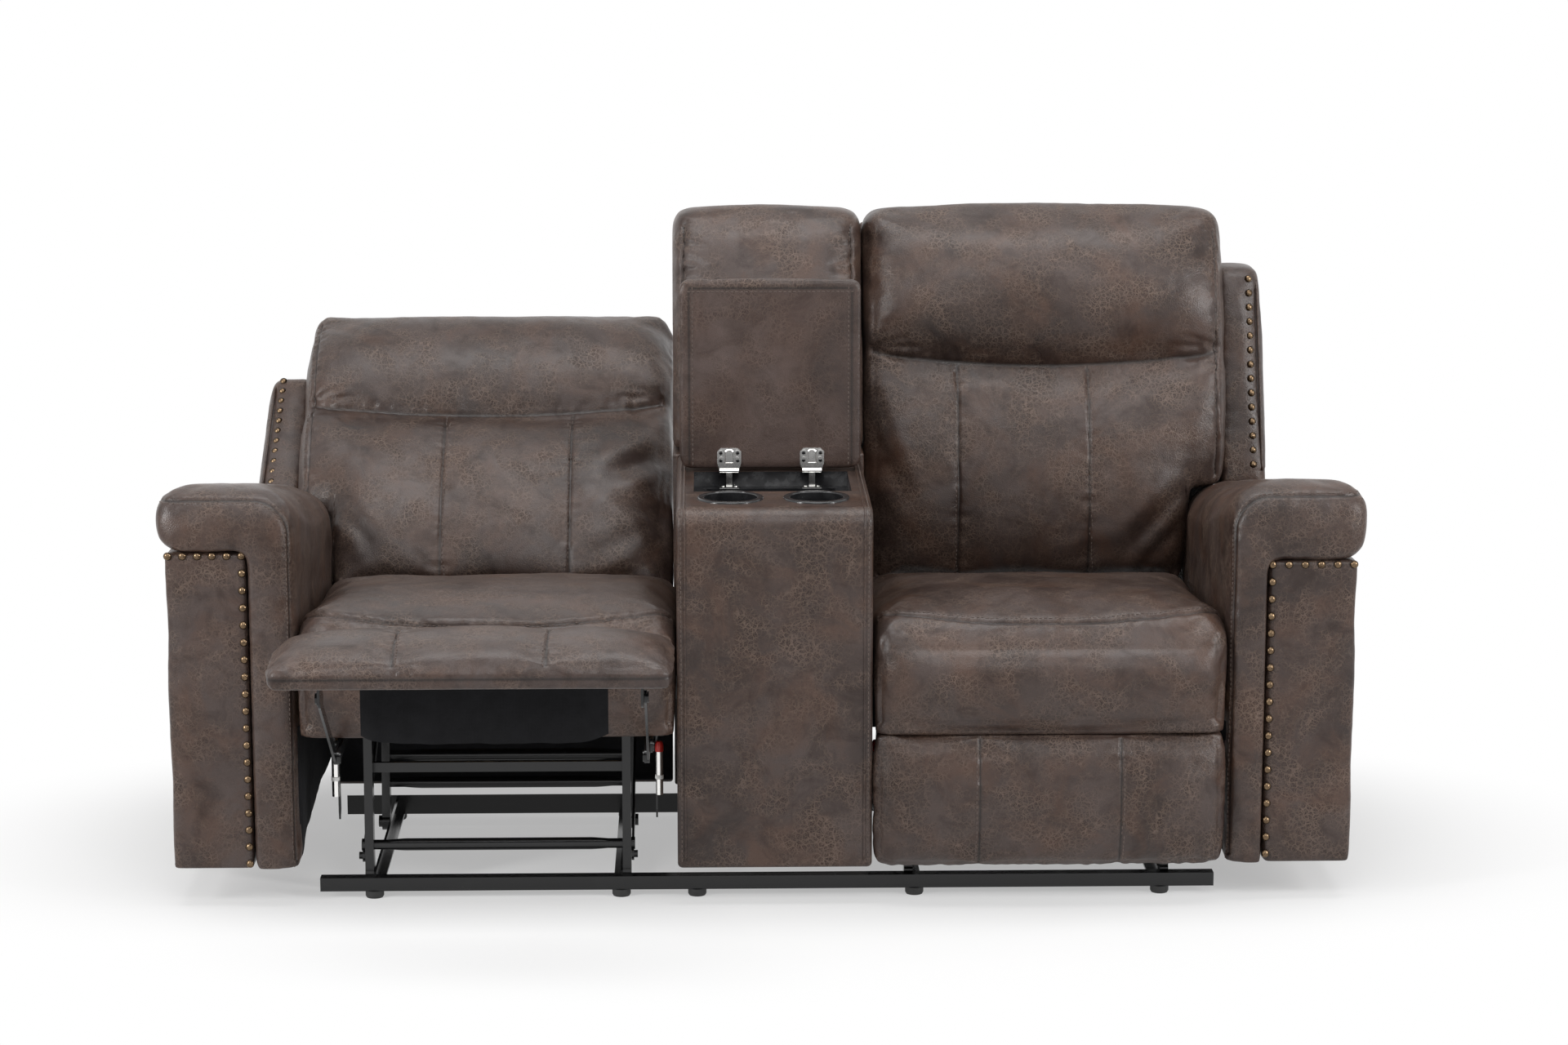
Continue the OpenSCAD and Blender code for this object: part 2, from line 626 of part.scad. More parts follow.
// Seat plates: angles under the seat frame with lugs that carry the links and the back,
// and a hanger outside the links that holds the spring tube
plate_y0 = 40;
lug_r = 13;
plate_web = 20;
hanger_x = steady_x + link_t + rivet_head_t + 2 * side_play;
hanger_y = 98;
hanger_w = 15;
hanger_t = 3;
hanger_low = 118;
hanger_high = 12;          // height of the hanger's arm over the links
module seat_plates(side) color(steel) mirrored(side) both_ends(side) {
    across(plate_out - link_t, link_t) {
        translate([plate_y0, plate_top - plate_web]) square([pivot.x - plate_y0, plate_web]);
        for (p = [drive_pivot, drive_pivot + steady_off, pivot])
            link(p, [p.x, plate_top - lug_r], 2 * lug_r);
    }
    translate([track_half, plate_y0, plate_top - link_t])
        cube([plate_out - track_half, seat_d - plate_y0, link_t]);
    for (p = [drive_pivot, pivot]) rivet(p, plate_out - link_t, reach_x);
    rivet(drive_pivot + steady_off, plate_out - link_t, steady_x + link_t + side_play);
    translate([plate_out - link_t, hanger_y, plate_top - link_t - hanger_high])
        cube([hanger_x + hanger_t - plate_out + link_t, hanger_w, hanger_high]);
    across(hanger_x, hanger_t) translate([hanger_y, hanger_low])
        polygon([[hanger_w / 3, 0], [hanger_w, hanger_w], [hanger_w, plate_top - link_t - hanger_low],
            [0, plate_top - link_t - hanger_low], [0, hanger_w]]);
}

// Spring tubes that hang in front of the hangers
tube_z0 = 160;
tube_z1 = 236;
tube_cap = 12;
spring_r = 6;
module spring_tubes(side) color(nickel) mirrored(side) both_ends(side)
    translate([hanger_x + spring_r, hanger_y - spring_r, 0]) {
        translate([0, 0, tube_z0]) cylinder(h = tube_z1 - tube_z0, r = spring_r);
        translate([0, 0, tube_z1]) cylinder(h = tube_cap, r1 = spring_r, r2 = spring_r / 2);
        for (z = [tube_z0 + spring_r, tube_z1 - spring_r]) translate([-spring_r / 2, 0, z])
            rotate([-90, 0, 0]) cylinder(h = spring_r, r = spring_r / 3);
    }

// Stands: risers and a brace from each side rail up to the seat plate
riser_w = 30;
riser_t = 14;
foot_rise = 6;             // of the risers' round feet over the middle of the side rails
foot_z = glide_h + side_rail_h / 2 + foot_rise;
head_z = plate_top - link_t;
front_foot_y = 88;
front_head_y = 100;
rear_foot_y = seat_d - 3.5 * riser_w;
rear_head_y = rear_foot_y + riser_w * 4 / 3;
stand_x = track_half + side_rail_t / 2;
bolt_r = 6;
nut_r = 10;
nut_h = 6;
module riser(y0, y1) intersection() {
    link([y0, foot_z], [y1, head_z + riser_w], riser_w);
    translate([y0 - riser_w, 0]) square([y1 - y0 + 2 * riser_w, head_z]);
}
module stands(side) color(steel) mirrored(side) both_ends(side) {
    across(stand_x, riser_t) {
        riser(front_foot_y, front_head_y);
        riser(rear_foot_y, rear_head_y);
    }
    a = [front_foot_y, foot_z + riser_w];
    b = [rear_head_y, head_z - 2 * riser_w];
    across(stand_x + riser_t + side_play, link_t) link(a, b, riser_w * 0.7);
    for (c = [a, b]) rod(c, bolt_r, stand_x + riser_t + side_play + link_t,
        stand_x + riser_t + side_play + link_t + nut_h);
    for (c = [tube_spots[0], [rear_foot_y, foot_z]]) rod(c, nut_r, stand_x + riser_t,
        stand_x + riser_t + nut_h);
}

// Cross tubes between the stands, pressed flat at their ends, and a flat bar
tube_r = 10;
flat_h = 12;
flat_l = 24;
flat_taper = 34;
bar_t = 8;
bar_h = 16;
tube_rises = [78, 96, 142];
tube_spots = [[front_foot_y + 0.4 * tube_r, tube_rises[0]],
    [rear_foot_y + 1.2 * tube_r, tube_rises[1]], [rear_foot_y + 2.2 * tube_r, tube_rises[2]]];
bar_spot = [104, 196];
module cross_tube(p) intersection() {
    rod(p, tube_r, -stand_x, stand_x);
    translate([0, p.x + tube_r, p.y]) rotate([90, 0, 0]) linear_extrude(2 * tube_r)
        for (s = [-1, 1]) scale([s, 1]) polygon([[0, -tube_r], [stand_x - flat_l - flat_taper,
            -tube_r], [stand_x - flat_l, -flat_h / 2], [stand_x, -flat_h / 2],
            [stand_x, flat_h / 2], [stand_x - flat_l, flat_h / 2],
            [stand_x - flat_l - flat_taper, tube_r], [0, tube_r]]);
}
module cross_tubes(side) color(steel) mirrored(side) translate([track_x(side), 0, 0]) {
    for (p = tube_spots) cross_tube(p);
    translate([-stand_x, bar_spot.x, bar_spot.y]) cube([2 * stand_x, bar_t, bar_h]);
}

// Drive links, and the drive tube between them that turns both together
drive_tube_r = 8;
drive_tube_share = 0.22;   // place of the drive tube along the link
module turned(p, a) translate([0, p.x, p.y]) rotate([a, 0, 0]) children();
function drive_a(side) = closed_a - drive_turn * opening(side);
module drive_links(side) color(steel) mirrored(side) turned(drive_pivot, drive_a(side)) {
    both_ends(side) {
        plate_with_bore(drive_x, [0, 0], [drive_l, 0]);
        rod([drive_l, 0], rivet_head_r, drive_x - rivet_head_t, drive_x);
        rod([drive_l, 0], rivet_r, drive_x, reach_x + link_t);
    }
    rod([drive_l * drive_tube_share, 0], drive_tube_r, track_x(side) - plate_out,
        track_x(side) + plate_out);
}

// Steady links, parallel to the drive links; their far pivot is the one left open
open_gap = 0.6;
module steady_links(side) color(steel) mirrored(side)
    turned(drive_pivot + steady_off, drive_a(side)) both_ends(side) {
        plate_with_bore(steady_x, [0, 0], [drive_l, 0]);
        rivet([drive_l, 0], reach_x, steady_x + link_t);
    }

// Reach links: they carry the footrest and keep their direction as they swing out
module reach_links(side) color(steel) mirrored(side) both_ends(side) across(reach_x, link_t) {
    k = knee(opening(side));
    e = toe(opening(side));
    difference() {
        crank([e, k, k + steady_off], link_w);
        for (p = [k, e]) translate(p) circle(r = rivet_r + fit);
        translate(k + steady_off) circle(r = rivet_r + open_gap);
    }
}

// Footrest, drawn closed and carried to its place by the links
board_t = 10;
board_in = 14;
pad_low = 64;              // height of its lower edge when closed
pad_front = -18;
pad_back = pad_front + pad_t;
pad_top = pad_low + pad_h;
module in_footrest(side) {
    t = opening(side);
    turned(toe(t), -pad_turn * t) translate([0, -toe(0).x, -toe(0).y]) children();
}
module footrest_brackets(side) color(steel) mirrored(side) in_footrest(side) both_ends(side) {
    across(drive_x, link_t) {
        link(toe(0), toe(0) - [0, link_w], link_w);
        translate([pad_back, toe(0).y - 2 * link_w]) square([toe(0).x - pad_back, 2 * link_w]);
    }
    translate([drive_x - link_w, pad_back, toe(0).y - 4 * link_w])
        cube([link_w + link_t, link_t, 4.4 * link_w]);
    rivet(toe(0), drive_x, steady_x);
}
module footrest_board(side) color(timber) mirrored(side) in_footrest(side)
    translate([seat_in(side) + board_in, pad_back - board_t, pad_low + board_in])
        cube([seat_w(side) - 2 * board_in, board_t, pad_h - 2 * board_in]);

// Dust flap that hangs behind the footrest
flap_d = 112;
flap_t = 3;
module footrest_flap(side) color(black) mirrored(side) in_footrest(side)
    translate([track_x(side) - track_half + link_w / 2, pad_back, pad_top - board_in - flap_t])
        cube([2 * track_half - link_w, flap_d, flap_t]);

// Padded footrest panel with two sewn channels
channel = 113;             // distance of the channels from the middle of the seat
channel_w = 16;
channel_d = 7;
pad_edge = 18;
pad_crown = 8;
pad_corner = 10;
pad_radii = [0, 0, 12, 60, 60, 60, 12];
function sewn_xs(m) = [m - channel - channel_w, m - channel, m - channel + channel_w, m,
    m + channel - channel_w, m + channel, m + channel + channel_w];
function sewn(x, m) = max(groove(x - m + channel, channel_d, channel_w),
    groove(x - m - channel, channel_d, channel_w));
function pad_ring(x, inset, crown, seam) = let (
    f = pad_front + inset + seam, z0 = pad_low + inset * 0.8, z1 = pad_top - inset * 0.8)
    [for (p = rounded([[pad_back - board_t, z0], [pad_back - board_t, z1],
        [f + pad_corner - crown, z1], [f - crown, mix(z0, z1, 0.75)],
        [f - crown * 1.4, mix(z0, z1, 0.5)], [f - crown, mix(z0, z1, 0.25)],
        [f + pad_corner - crown, z0]], pad_radii, 4)) [x, p.x, p.y]];
module footrest_pad(side) color(leather) mirrored(side) in_footrest(side) {
    w = seat_w(side);
    difference() {
        loft([for (x = stations(w, pad_edge, sewn_xs(w / 2))) pad_ring(seat_in(side) + x,
            draw_in(min(x, w - x), pad_edge), pad_crown * (1 + sin(180 * x / w)) / 2,
            sewn(x, w / 2))]);
        translate([seat_in(side) + board_in - touch, pad_back - board_t - touch,
            pad_low + board_in - touch])
            cube([w - 2 * board_in + 2 * touch, board_t + over, pad_h - 2 * board_in + 2 * touch]);
    }
}

// Backs, drawn upright and leaned about the recline pivot
module in_back(side) turned(pivot, -recline_turn * leaning(side))
    translate([0, -pivot.x, -pivot.y]) children();
back_gap = 3;
function back_in(side) = tower_w / 2 + sgn(side) * console_shift + back_gap;
back_out = bay_half + back_over;
low_z = 416;               // lower edge of the back cushion
wide_z = 594;              // height above which the back reaches over the arm
step_w = 5;                // width over which the lower edge steps up
seam_z = 815;              // height of the seam under the head cushion at its ends
seam_dip = 24;             // how far the seam dips in the middle
seam_d = 12;
low_gap = 10;
seam_lean = 51;
top_lean = 66;
low_y = seat_d + low_gap;  // front of the cushion at its lower edge, its seam and its top
seam_y = low_y + seam_lean;
top_y = seam_y + top_lean;
lumbar_bulge = 24;
head_bulge = 20;
back_edge = 30;
top_drop = 7;              // the crown's sides lie this far below the full height
top_r = 34;
rear_gap = 125;            // thickness of the cushion at its lower edge
rear_slope = 0.2;
lumbar_n = 8;
head_n = 6;
bulge_share = 0.6;
function rear_y(z) = low_y + rear_gap + (z - low_z) * rear_slope;
function back_w(side) = back_out - back_in(side);
function back_xs(side) = let (m = seat_in(side) + seat_w(side) / 2 - back_in(side))
    concat([for (s = edge_shares) s * back_edge], sewn_xs(m),
        [for (d = [back_over + 2 * step_w, back_over + step_w, back_over])
            back_w(side) - d],
        [for (s = concat([1.2], [for (i = [3:-1:0]) edge_shares[i]]))
            back_w(side) - s * back_edge]);
function back_ring(side, x) = let (
    w = back_w(side),
    m = seat_in(side) + seat_w(side) / 2 - back_in(side),
    inset = draw_in(min(x, w - x), back_edge),
    z0 = w - x < back_over + step_w / 2 ? wide_z : low_z,
    side_share = abs(2 * x / w - 1),
    zs = seam_z - seam_dip * (1 - pow(side_share, 2)),
    z1 = back_h - top_drop * pow(side_share, 2) - inset,
    seam = sewn(x, m))
    concat(
        [for (i = [0:lumbar_n]) let (v = i / lumbar_n, z = mix(z0 + inset / 2, zs, v),
            u = (z - low_z) / (seam_z - low_z))
            [mix(low_y, seam_y, u) - lumbar_bulge * pow(max(0, sin(180 * v)), bulge_share)
                + inset + seam * sin(180 * v) + (i == lumbar_n ? seam_d : 0), z]],
        [for (i = [1:head_n]) let (v = i / head_n, z = mix(zs, z1 - top_r, v))
            [mix(seam_y, top_y, v) - head_bulge * pow(max(0, sin(180 * v)), bulge_share)
                + inset, z]],
        [for (a = [150, 120, 90]) [top_y + inset + top_r * (1 + cos(a)),
            z1 - top_r + top_r * sin(a)]],
        [for (a = [90, 50, 10]) [rear_y(z1 - top_r) - top_r * (1 - cos(a)),
            z1 - top_r + top_r * sin(a)]],
        [[rear_y((z0 + z1) / 2), (z0 + z1) / 2], [rear_y(z0), z0]]);
module back_cushion(side) color(leather) mirrored(side) in_back(side)
    loft([for (x = back_xs(side)) let (r = back_ring(side, x))
        [for (k = [len(r) - 1:-1:0]) [back_in(side) + x, r[k].x, r[k].y]]]);

// Timber frame behind the cushion
back_frame_t = 28;
rear_t = 14;               // thickness of the outside panel
back_frame_drop = 60;
back_frame_low = 20;
back_rail_top = back_h - back_frame_drop;
module behind(x0, x1, z0, z1, gap, t) across(x0, x1 - x0) polygon([[rear_y(z0) + gap, z0],
    [rear_y(z0) + gap + t, z0], [rear_y(z1) + gap + t, z1], [rear_y(z1) + gap, z1]]);
module back_frame(side) color(timber) mirrored(side) in_back(side) {
    x0 = seat_in(side) + frame_in;
    x1 = seat_out - frame_in;
    for (x = [x0, x1 - frame_w]) behind(x, x + frame_w, low_z, back_rail_top, touch, back_frame_t);
    for (z = [low_z + back_frame_low, (low_z + back_rail_top) / 2, back_rail_top - frame_w])
        behind(x0, x1, z, z + frame_w, touch, back_frame_t);
}

// Steel brackets from the recline pivot back to feet under the posts of the back frame
foot_w = 22;
module back_brackets(side) color(steel) mirrored(side) in_back(side) both_ends(side) {
    y0 = rear_y(low_z) + touch;
    heel = [y0 + lug_r, low_z - link_t - lug_r];
    across(drive_x, link_t) difference() {
        crank([pivot, heel, heel + [0, 2 * lug_r]], 2 * lug_r);
        translate(pivot) circle(r = rivet_r + fit);
        translate([y0 - over, low_z]) square(2 * lug_r + 2 * over);
    }
    translate([drive_x, y0, low_z - link_t]) cube([foot_w, 2 * lug_r, link_t]);
}

// Wing: padded side of the back that passes over the arm
wing_in = back_out + touch;
wing_out = bay_half + wing_over;
wing_flare = 16;
wing_edge = 18;
wing_set = 88;
wing_y = low_y + wing_set; // front of the wing at the height of wide_z
wing_top_r = 14;
wing_a0 = 66;              // angles on the circle between which the wing's lower edge runs
wing_a1 = 31;
function wing_front(z) = wing_y + (z - wide_z) * back_slope;
function wing_outline(inset) = concat(arc(pivot, wing_r + inset, wing_a1, wing_a0, 6),
    [[wing_front(wide_z) + inset, wide_z],
     [wing_front(wing_h - wing_top_r) + inset, wing_h - wing_top_r - inset],
     [wing_front(wing_h) + wing_top_r + inset, wing_h - inset],
     [rear_y(wing_h) + back_frame_t + rear_t, wing_h - inset]]);
function wing_x(d, z) = wing_in + d + wing_flare * (d / (wing_out - wing_in)) * (1 - z / wing_h);
module wing(side) color(leather) mirrored(side) in_back(side) {
    w = wing_out - wing_in;
    loft([for (d = concat([0], [for (i = [3:-1:0]) w - edge_shares[i] * wing_edge]))
        [for (p = wing_outline(draw_in(w - d, wing_edge))) [wing_x(d, p.y), p.x, p.y]]]);
}
wing_nail_in = 22;         // from the wing's outer side to the row of nails
wing_nail_drop = 18;
module wing_nails(side) color(brass) mirrored(side) in_back(side) {
    n = floor((wing_h - wide_z - wing_nail_drop) / wing_nail_pitch);
    for (i = [0:n]) let (z = wing_h - wing_nail_drop - i * wing_nail_pitch)
        nail([wing_x(wing_out - wing_in - wing_nail_in, z), wing_front(z), z], atan(back_slope));
}

// Outside back: a panel behind the frame that hangs straight below a bend
rear_low = 120;
rear_bend_z = 460;
rear_drop = 40;
rear_side_low = 500;       // the panel reaches over the arm only above this height
module rear_panel(side) color(leather) mirrored(side) in_back(side) {
    gap = back_frame_t + 2 * touch;
    behind(back_in(side), back_out, rear_side_low, back_h - rear_drop, gap, rear_t);
    behind(back_in(side), seat_out, rear_bend_z, back_h - rear_drop, gap, rear_t);
    translate([back_in(side), rear_y(rear_bend_z) + gap, rear_low])
        cube([seat_out - back_in(side), rear_t, rear_bend_z - rear_low]);
}

placed() front_rail();
placed() rear_rail();
placed() side_rails();
placed() glides();
placed() arm_brackets();
placed() console_brackets();
placed() console_body();
placed() console_rear();
placed() console_tray();
placed() cup_holders();
placed() console_back();
placed() lid();
placed() lid_hinge_leaves();
placed() lid_hinge_bases();
for (side = SIDES) {
    placed() arm_panel(side);
    placed() arm_roll(side);
    placed() arm_nails(side);
    placed() seat_frame(side);
    placed() seat_cushion(side);
    placed() seat_springs(side);
    placed() seat_plates(side);
    placed() spring_tubes(side);
    placed() stands(side);
    placed() cross_tubes(side);
    placed() drive_links(side);
    placed() steady_links(side);
    placed() reach_links(side);
    placed() footrest_brackets(side);
    placed() footrest_board(side);
    placed() footrest_flap(side);
    placed() footrest_pad(side);
    placed() back_brackets(side);
    placed() back_frame(side);
    placed() back_cushion(side);
    placed() wing(side);
    placed() wing_nails(side);
    placed() rear_panel(side);
}
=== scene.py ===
"""Looks of the reclining loveseat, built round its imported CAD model."""
import math

import bmesh
import bpy
import numpy as np
from mathutils import Matrix, Vector
from mathutils.bvhtree import BVHTree
from mathutils.kdtree import KDTree


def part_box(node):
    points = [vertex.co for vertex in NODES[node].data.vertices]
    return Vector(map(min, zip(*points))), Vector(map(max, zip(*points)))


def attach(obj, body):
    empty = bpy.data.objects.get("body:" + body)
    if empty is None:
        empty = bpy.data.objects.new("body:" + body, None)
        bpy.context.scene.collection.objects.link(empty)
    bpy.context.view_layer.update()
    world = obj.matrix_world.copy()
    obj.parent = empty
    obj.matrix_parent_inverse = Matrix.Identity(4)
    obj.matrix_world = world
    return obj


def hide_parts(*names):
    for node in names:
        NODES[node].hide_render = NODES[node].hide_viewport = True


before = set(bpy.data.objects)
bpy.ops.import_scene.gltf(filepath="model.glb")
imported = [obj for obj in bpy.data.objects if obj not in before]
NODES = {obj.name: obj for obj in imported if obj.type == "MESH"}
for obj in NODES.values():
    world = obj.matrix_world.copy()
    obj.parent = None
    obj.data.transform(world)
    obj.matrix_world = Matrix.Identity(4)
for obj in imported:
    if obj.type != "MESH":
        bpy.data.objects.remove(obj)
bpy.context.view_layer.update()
SIDES = ("left", "right")

# Steps of the cloth simulation
FRAMES = 20

# Sizes of the CAD model in millimetres and degrees; depths are measured from the plane of the
# arm fronts. The left footrest is open and the left back reclined.
FRONT_Y = 351
PIVOT = (521, 382)
DRIVE_PIVOT = (180, 266)
DRIVE_L, REACH_L = 232, 270
DRIVE_TURN, CLOSED_A, REACH_A = 120, -59, 146
RECLINE = {"left": 38, "right": 0}
OPEN = {"left": 1, "right": 0}
SHIFT = {"left": -18, "right": 18}
ROLL_H = {"left": 97, "right": 119}
BAND = {"left": 74, "right": 60}
BAY, ARM_W, ROLL_OUT, ARM_H = 742, 204, 16, 680
SEAT_OUT, BACK_OUT = 739, 812
SKIRT = 62
BACK_H, LOW_Z, SEAM_Z, SEAM_DIP = 1055, 416, 815, 24
BACK_REAR, BACK_SLOPE, REAR_SLOPE = 634, 0.2, 0.27
WING_IN, WING_OUT, WING_H, WING_FRONT, WIDE_Z = 812.4, 886, 943, 603, 594
CONSOLE_X0, CONSOLE_X1, CONSOLE_H, BEND_R = -138, 174, 648, 30
TOWER_X0, TOWER_X1, TOWER_REAR = -146, 182, 640
REAR_BOX_Y = 500.5
LID_X0, LID_X1, LID_Y, LID_Z0, LID_Z1 = -133, 169, 334, 652, 972
FLAP_MID = {"left": 430, "right": 446}
FLAP_W, FLAP_L, FLAP_Y, FLAP_Z = 378, 131, 28.6, 265.5
NAIL_PITCH, NAIL_IN, NAIL_OUT = 28, 7.5, 6.5

# Sewn rows: from the middle of a seat to each upright row, and where rows are cast from
CHANNEL = 113
CAST_Y = -100

# The step of a back cushion over the arm, the seat's lip and the footrest's top edge
STEP_X, STEP_Z, STEP_DROP = 741, 624, 15
LIP_TOP, LIP_Z = 304, 282.4
PAD_EDGE, PAD_TOP = 262, 281.4


# Inner side of a seat and of a back cushion, and the middle of a seat
def seat_in(side):
    return 159 + SHIFT[side]


def back_in(side):
    return 167 + SHIFT[side]


def seat_mid(side):
    return (seat_in(side) + SEAT_OUT) / 2


# Camera at the photograph's angle
def camera():
    cam = bpy.data.cameras.new("camera")
    cam.lens = 82.6
    cam.sensor_width = 36
    cam.clip_end = 50
    obj = placed("camera", cam)
    down, turned = 11, 1.338
    obj.location = (-0.0975, -5.570 - FRONT_Y / 1000, 1.710)
    obj.rotation_euler = (math.radians(90 - down), 0, -math.radians(turned))
    bpy.context.scene.camera = obj


# Drawn coordinates: the right half, upright and closed, in millimetres. The pose matrix of a
# kind of piece carries them to where the CAD model holds that piece at rest, in metres.
def knee(t):
    """Where the drive link ends, with the footrest open by the share t."""
    a = math.radians(CLOSED_A - DRIVE_TURN * t)
    return np.array(DRIVE_PIVOT) + DRIVE_L * np.array((math.cos(a), math.sin(a)))


def toe(t):
    """Where the footrest hangs on its reach link."""
    a = math.radians(REACH_A)
    return knee(t) + REACH_L * np.array((math.cos(a), math.sin(a)))


def pose(side, kind="base"):
    """From drawn coordinates to the model's, for a base, back or footrest piece."""
    m = Matrix.Identity(4)
    if kind == "back":
        m = (Matrix.Translation((0, *PIVOT))
             @ Matrix.Rotation(math.radians(-RECLINE[side]), 4, "X")
             @ Matrix.Translation((0, -PIVOT[0], -PIVOT[1])))
    if kind == "footrest":
        t = OPEN[side]
        m = (Matrix.Translation((0, *toe(t))) @ Matrix.Rotation(math.radians(-90 * t), 4, "X")
             @ Matrix.Translation((0, *(-toe(0)))))
    m = Matrix.Translation((0, -FRONT_Y, 0)) @ m
    if side == "left":
        m = Matrix.Diagonal((-1, 1, 1, 1)) @ m
    return Matrix.Diagonal((0.001, 0.001, 0.001, 1)) @ m


def apply(m, p):
    m = np.array(m)
    return p @ m[:3, :3].T + m[:3, 3]


def verts(mesh):
    co = np.empty(len(mesh.vertices) * 3)
    mesh.vertices.foreach_get("co", co)
    return co.reshape(-1, 3)


def normals(mesh):
    co = np.empty(len(mesh.vertices) * 3)
    mesh.vertices.foreach_get("normal", co)
    return co.reshape(-1, 3)


def put(mesh, co):
    mesh.vertices.foreach_set("co", co.ravel())
    mesh.update()


def waves(p, size, seed, n=14):
    """Smooth unevenness of about -1 to 1 with bumps of the given size."""
    r = np.random.RandomState(seed)
    k = r.normal(size=(n, 3))
    k *= (2 * math.pi / size / np.linalg.norm(k, axis=1) * r.uniform(0.6, 1.6, n))[:, None]
    return np.sin(p @ k.T + r.uniform(0, 6.28, n)).sum(1) / math.sqrt(n)


# Materials
class Nodes:
    """A new material and short ways to add the nodes that make it up."""

    def __init__(self, name):
        self.m = bpy.data.materials.new(name)
        self.m.use_nodes = True
        self.t = self.m.node_tree
        self.b = self.t.nodes["Principled BSDF"]
        self.co = self.add("ShaderNodeTexCoord").outputs["Object"]

    def add(self, kind, ins=None, **props):
        n = self.t.nodes.new(kind)
        for k, v in props.items():
            setattr(n, k, v)
        for k, v in (ins or {}).items():
            if isinstance(v, bpy.types.NodeSocket):
                self.t.links.new(v, n.inputs[k])
            else:
                n.inputs[k].default_value = v
        return n

    def noise(self, scale, detail=4, rough=0.6, dist=0.0, vec=None):
        return self.add("ShaderNodeTexNoise", {
            "Vector": vec or self.co, "Scale": scale, "Detail": detail, "Roughness": rough,
            "Distortion": dist}).outputs["Fac"]

    def cells(self, scale, vec=None, feature="DISTANCE_TO_EDGE"):
        return self.add("ShaderNodeTexVoronoi", {"Vector": vec or self.co, "Scale": scale},
                        feature=feature).outputs["Distance"]

    def warped(self, scale, amount):
        """Object coordinates bent by noise."""
        n = self.add("ShaderNodeTexNoise", {"Vector": self.co, "Scale": scale, "Detail": 3.0})
        c = self.add("ShaderNodeVectorMath", {0: n.outputs["Color"], 1: (0.5, 0.5, 0.5)},
                     operation="SUBTRACT").outputs[0]
        c = self.add("ShaderNodeVectorMath", {0: c, "Scale": amount},
                     operation="SCALE").outputs[0]
        return self.add("ShaderNodeVectorMath", {0: self.co, 1: c}, operation="ADD").outputs[0]

    def stretched(self, scale):
        return self.add("ShaderNodeMapping", {"Vector": self.co, "Scale": scale}).outputs[0]

    def ramp(self, fac, stops):
        n = self.add("ShaderNodeValToRGB", {"Fac": fac})
        e = n.color_ramp.elements
        while len(e) < len(stops):
            e.new(0.5)
        for item, (at, c) in zip(e, stops):
            item.position = at
            item.color = (*c, 1) if isinstance(c, tuple) else (c, c, c, 1)
        return n.outputs["Color"]

    def math(self, op, a, b=0.0, clamp=False):
        return self.add("ShaderNodeMath", {0: a, 1: b}, operation=op,
                        use_clamp=clamp).outputs[0]

    def span(self, v, lo, hi, to_lo=0.0, to_hi=1.0):
        """Maps lo to to_lo and hi to to_hi, and holds the value between them."""
        return self.add("ShaderNodeMapRange", {
            "Value": v, "From Min": lo, "From Max": hi, "To Min": to_lo,
            "To Max": to_hi}).outputs["Result"]

    def mix(self, fac, a, b, blend="MIX"):
        n = self.add("ShaderNodeMix", data_type="RGBA", blend_type=blend)
        for i, v in ((0, fac), (6, a), (7, b)):
            if isinstance(v, bpy.types.NodeSocket):
                self.t.links.new(v, n.inputs[i])
            elif i:
                n.inputs[i].default_value = (*v, 1)
            else:
                n.inputs[i].default_value = v
        return n.outputs[2]

    def bump(self, height, distance, strength=1.0, normal=None):
        ins = {"Height": height, "Distance": distance, "Strength": strength}
        if normal is not None:
            ins["Normal"] = normal
        return self.add("ShaderNodeBump", ins).outputs["Normal"]

    def set(self, **values):
        names = {"color": "Base Color", "rough": "Roughness", "metal": "Metallic",
                 "spec": "Specular IOR Level", "normal": "Normal", "coat": "Coat Weight",
                 "coat_rough": "Coat Roughness"}
        for k, v in values.items():
            socket = self.b.inputs[names[k]]
            if isinstance(v, bpy.types.NodeSocket):
                self.t.links.new(v, socket)
            else:
                socket.default_value = (*v, 1) if isinstance(v, tuple) else v
        return self.m


LEATHER_TONE = 0.88


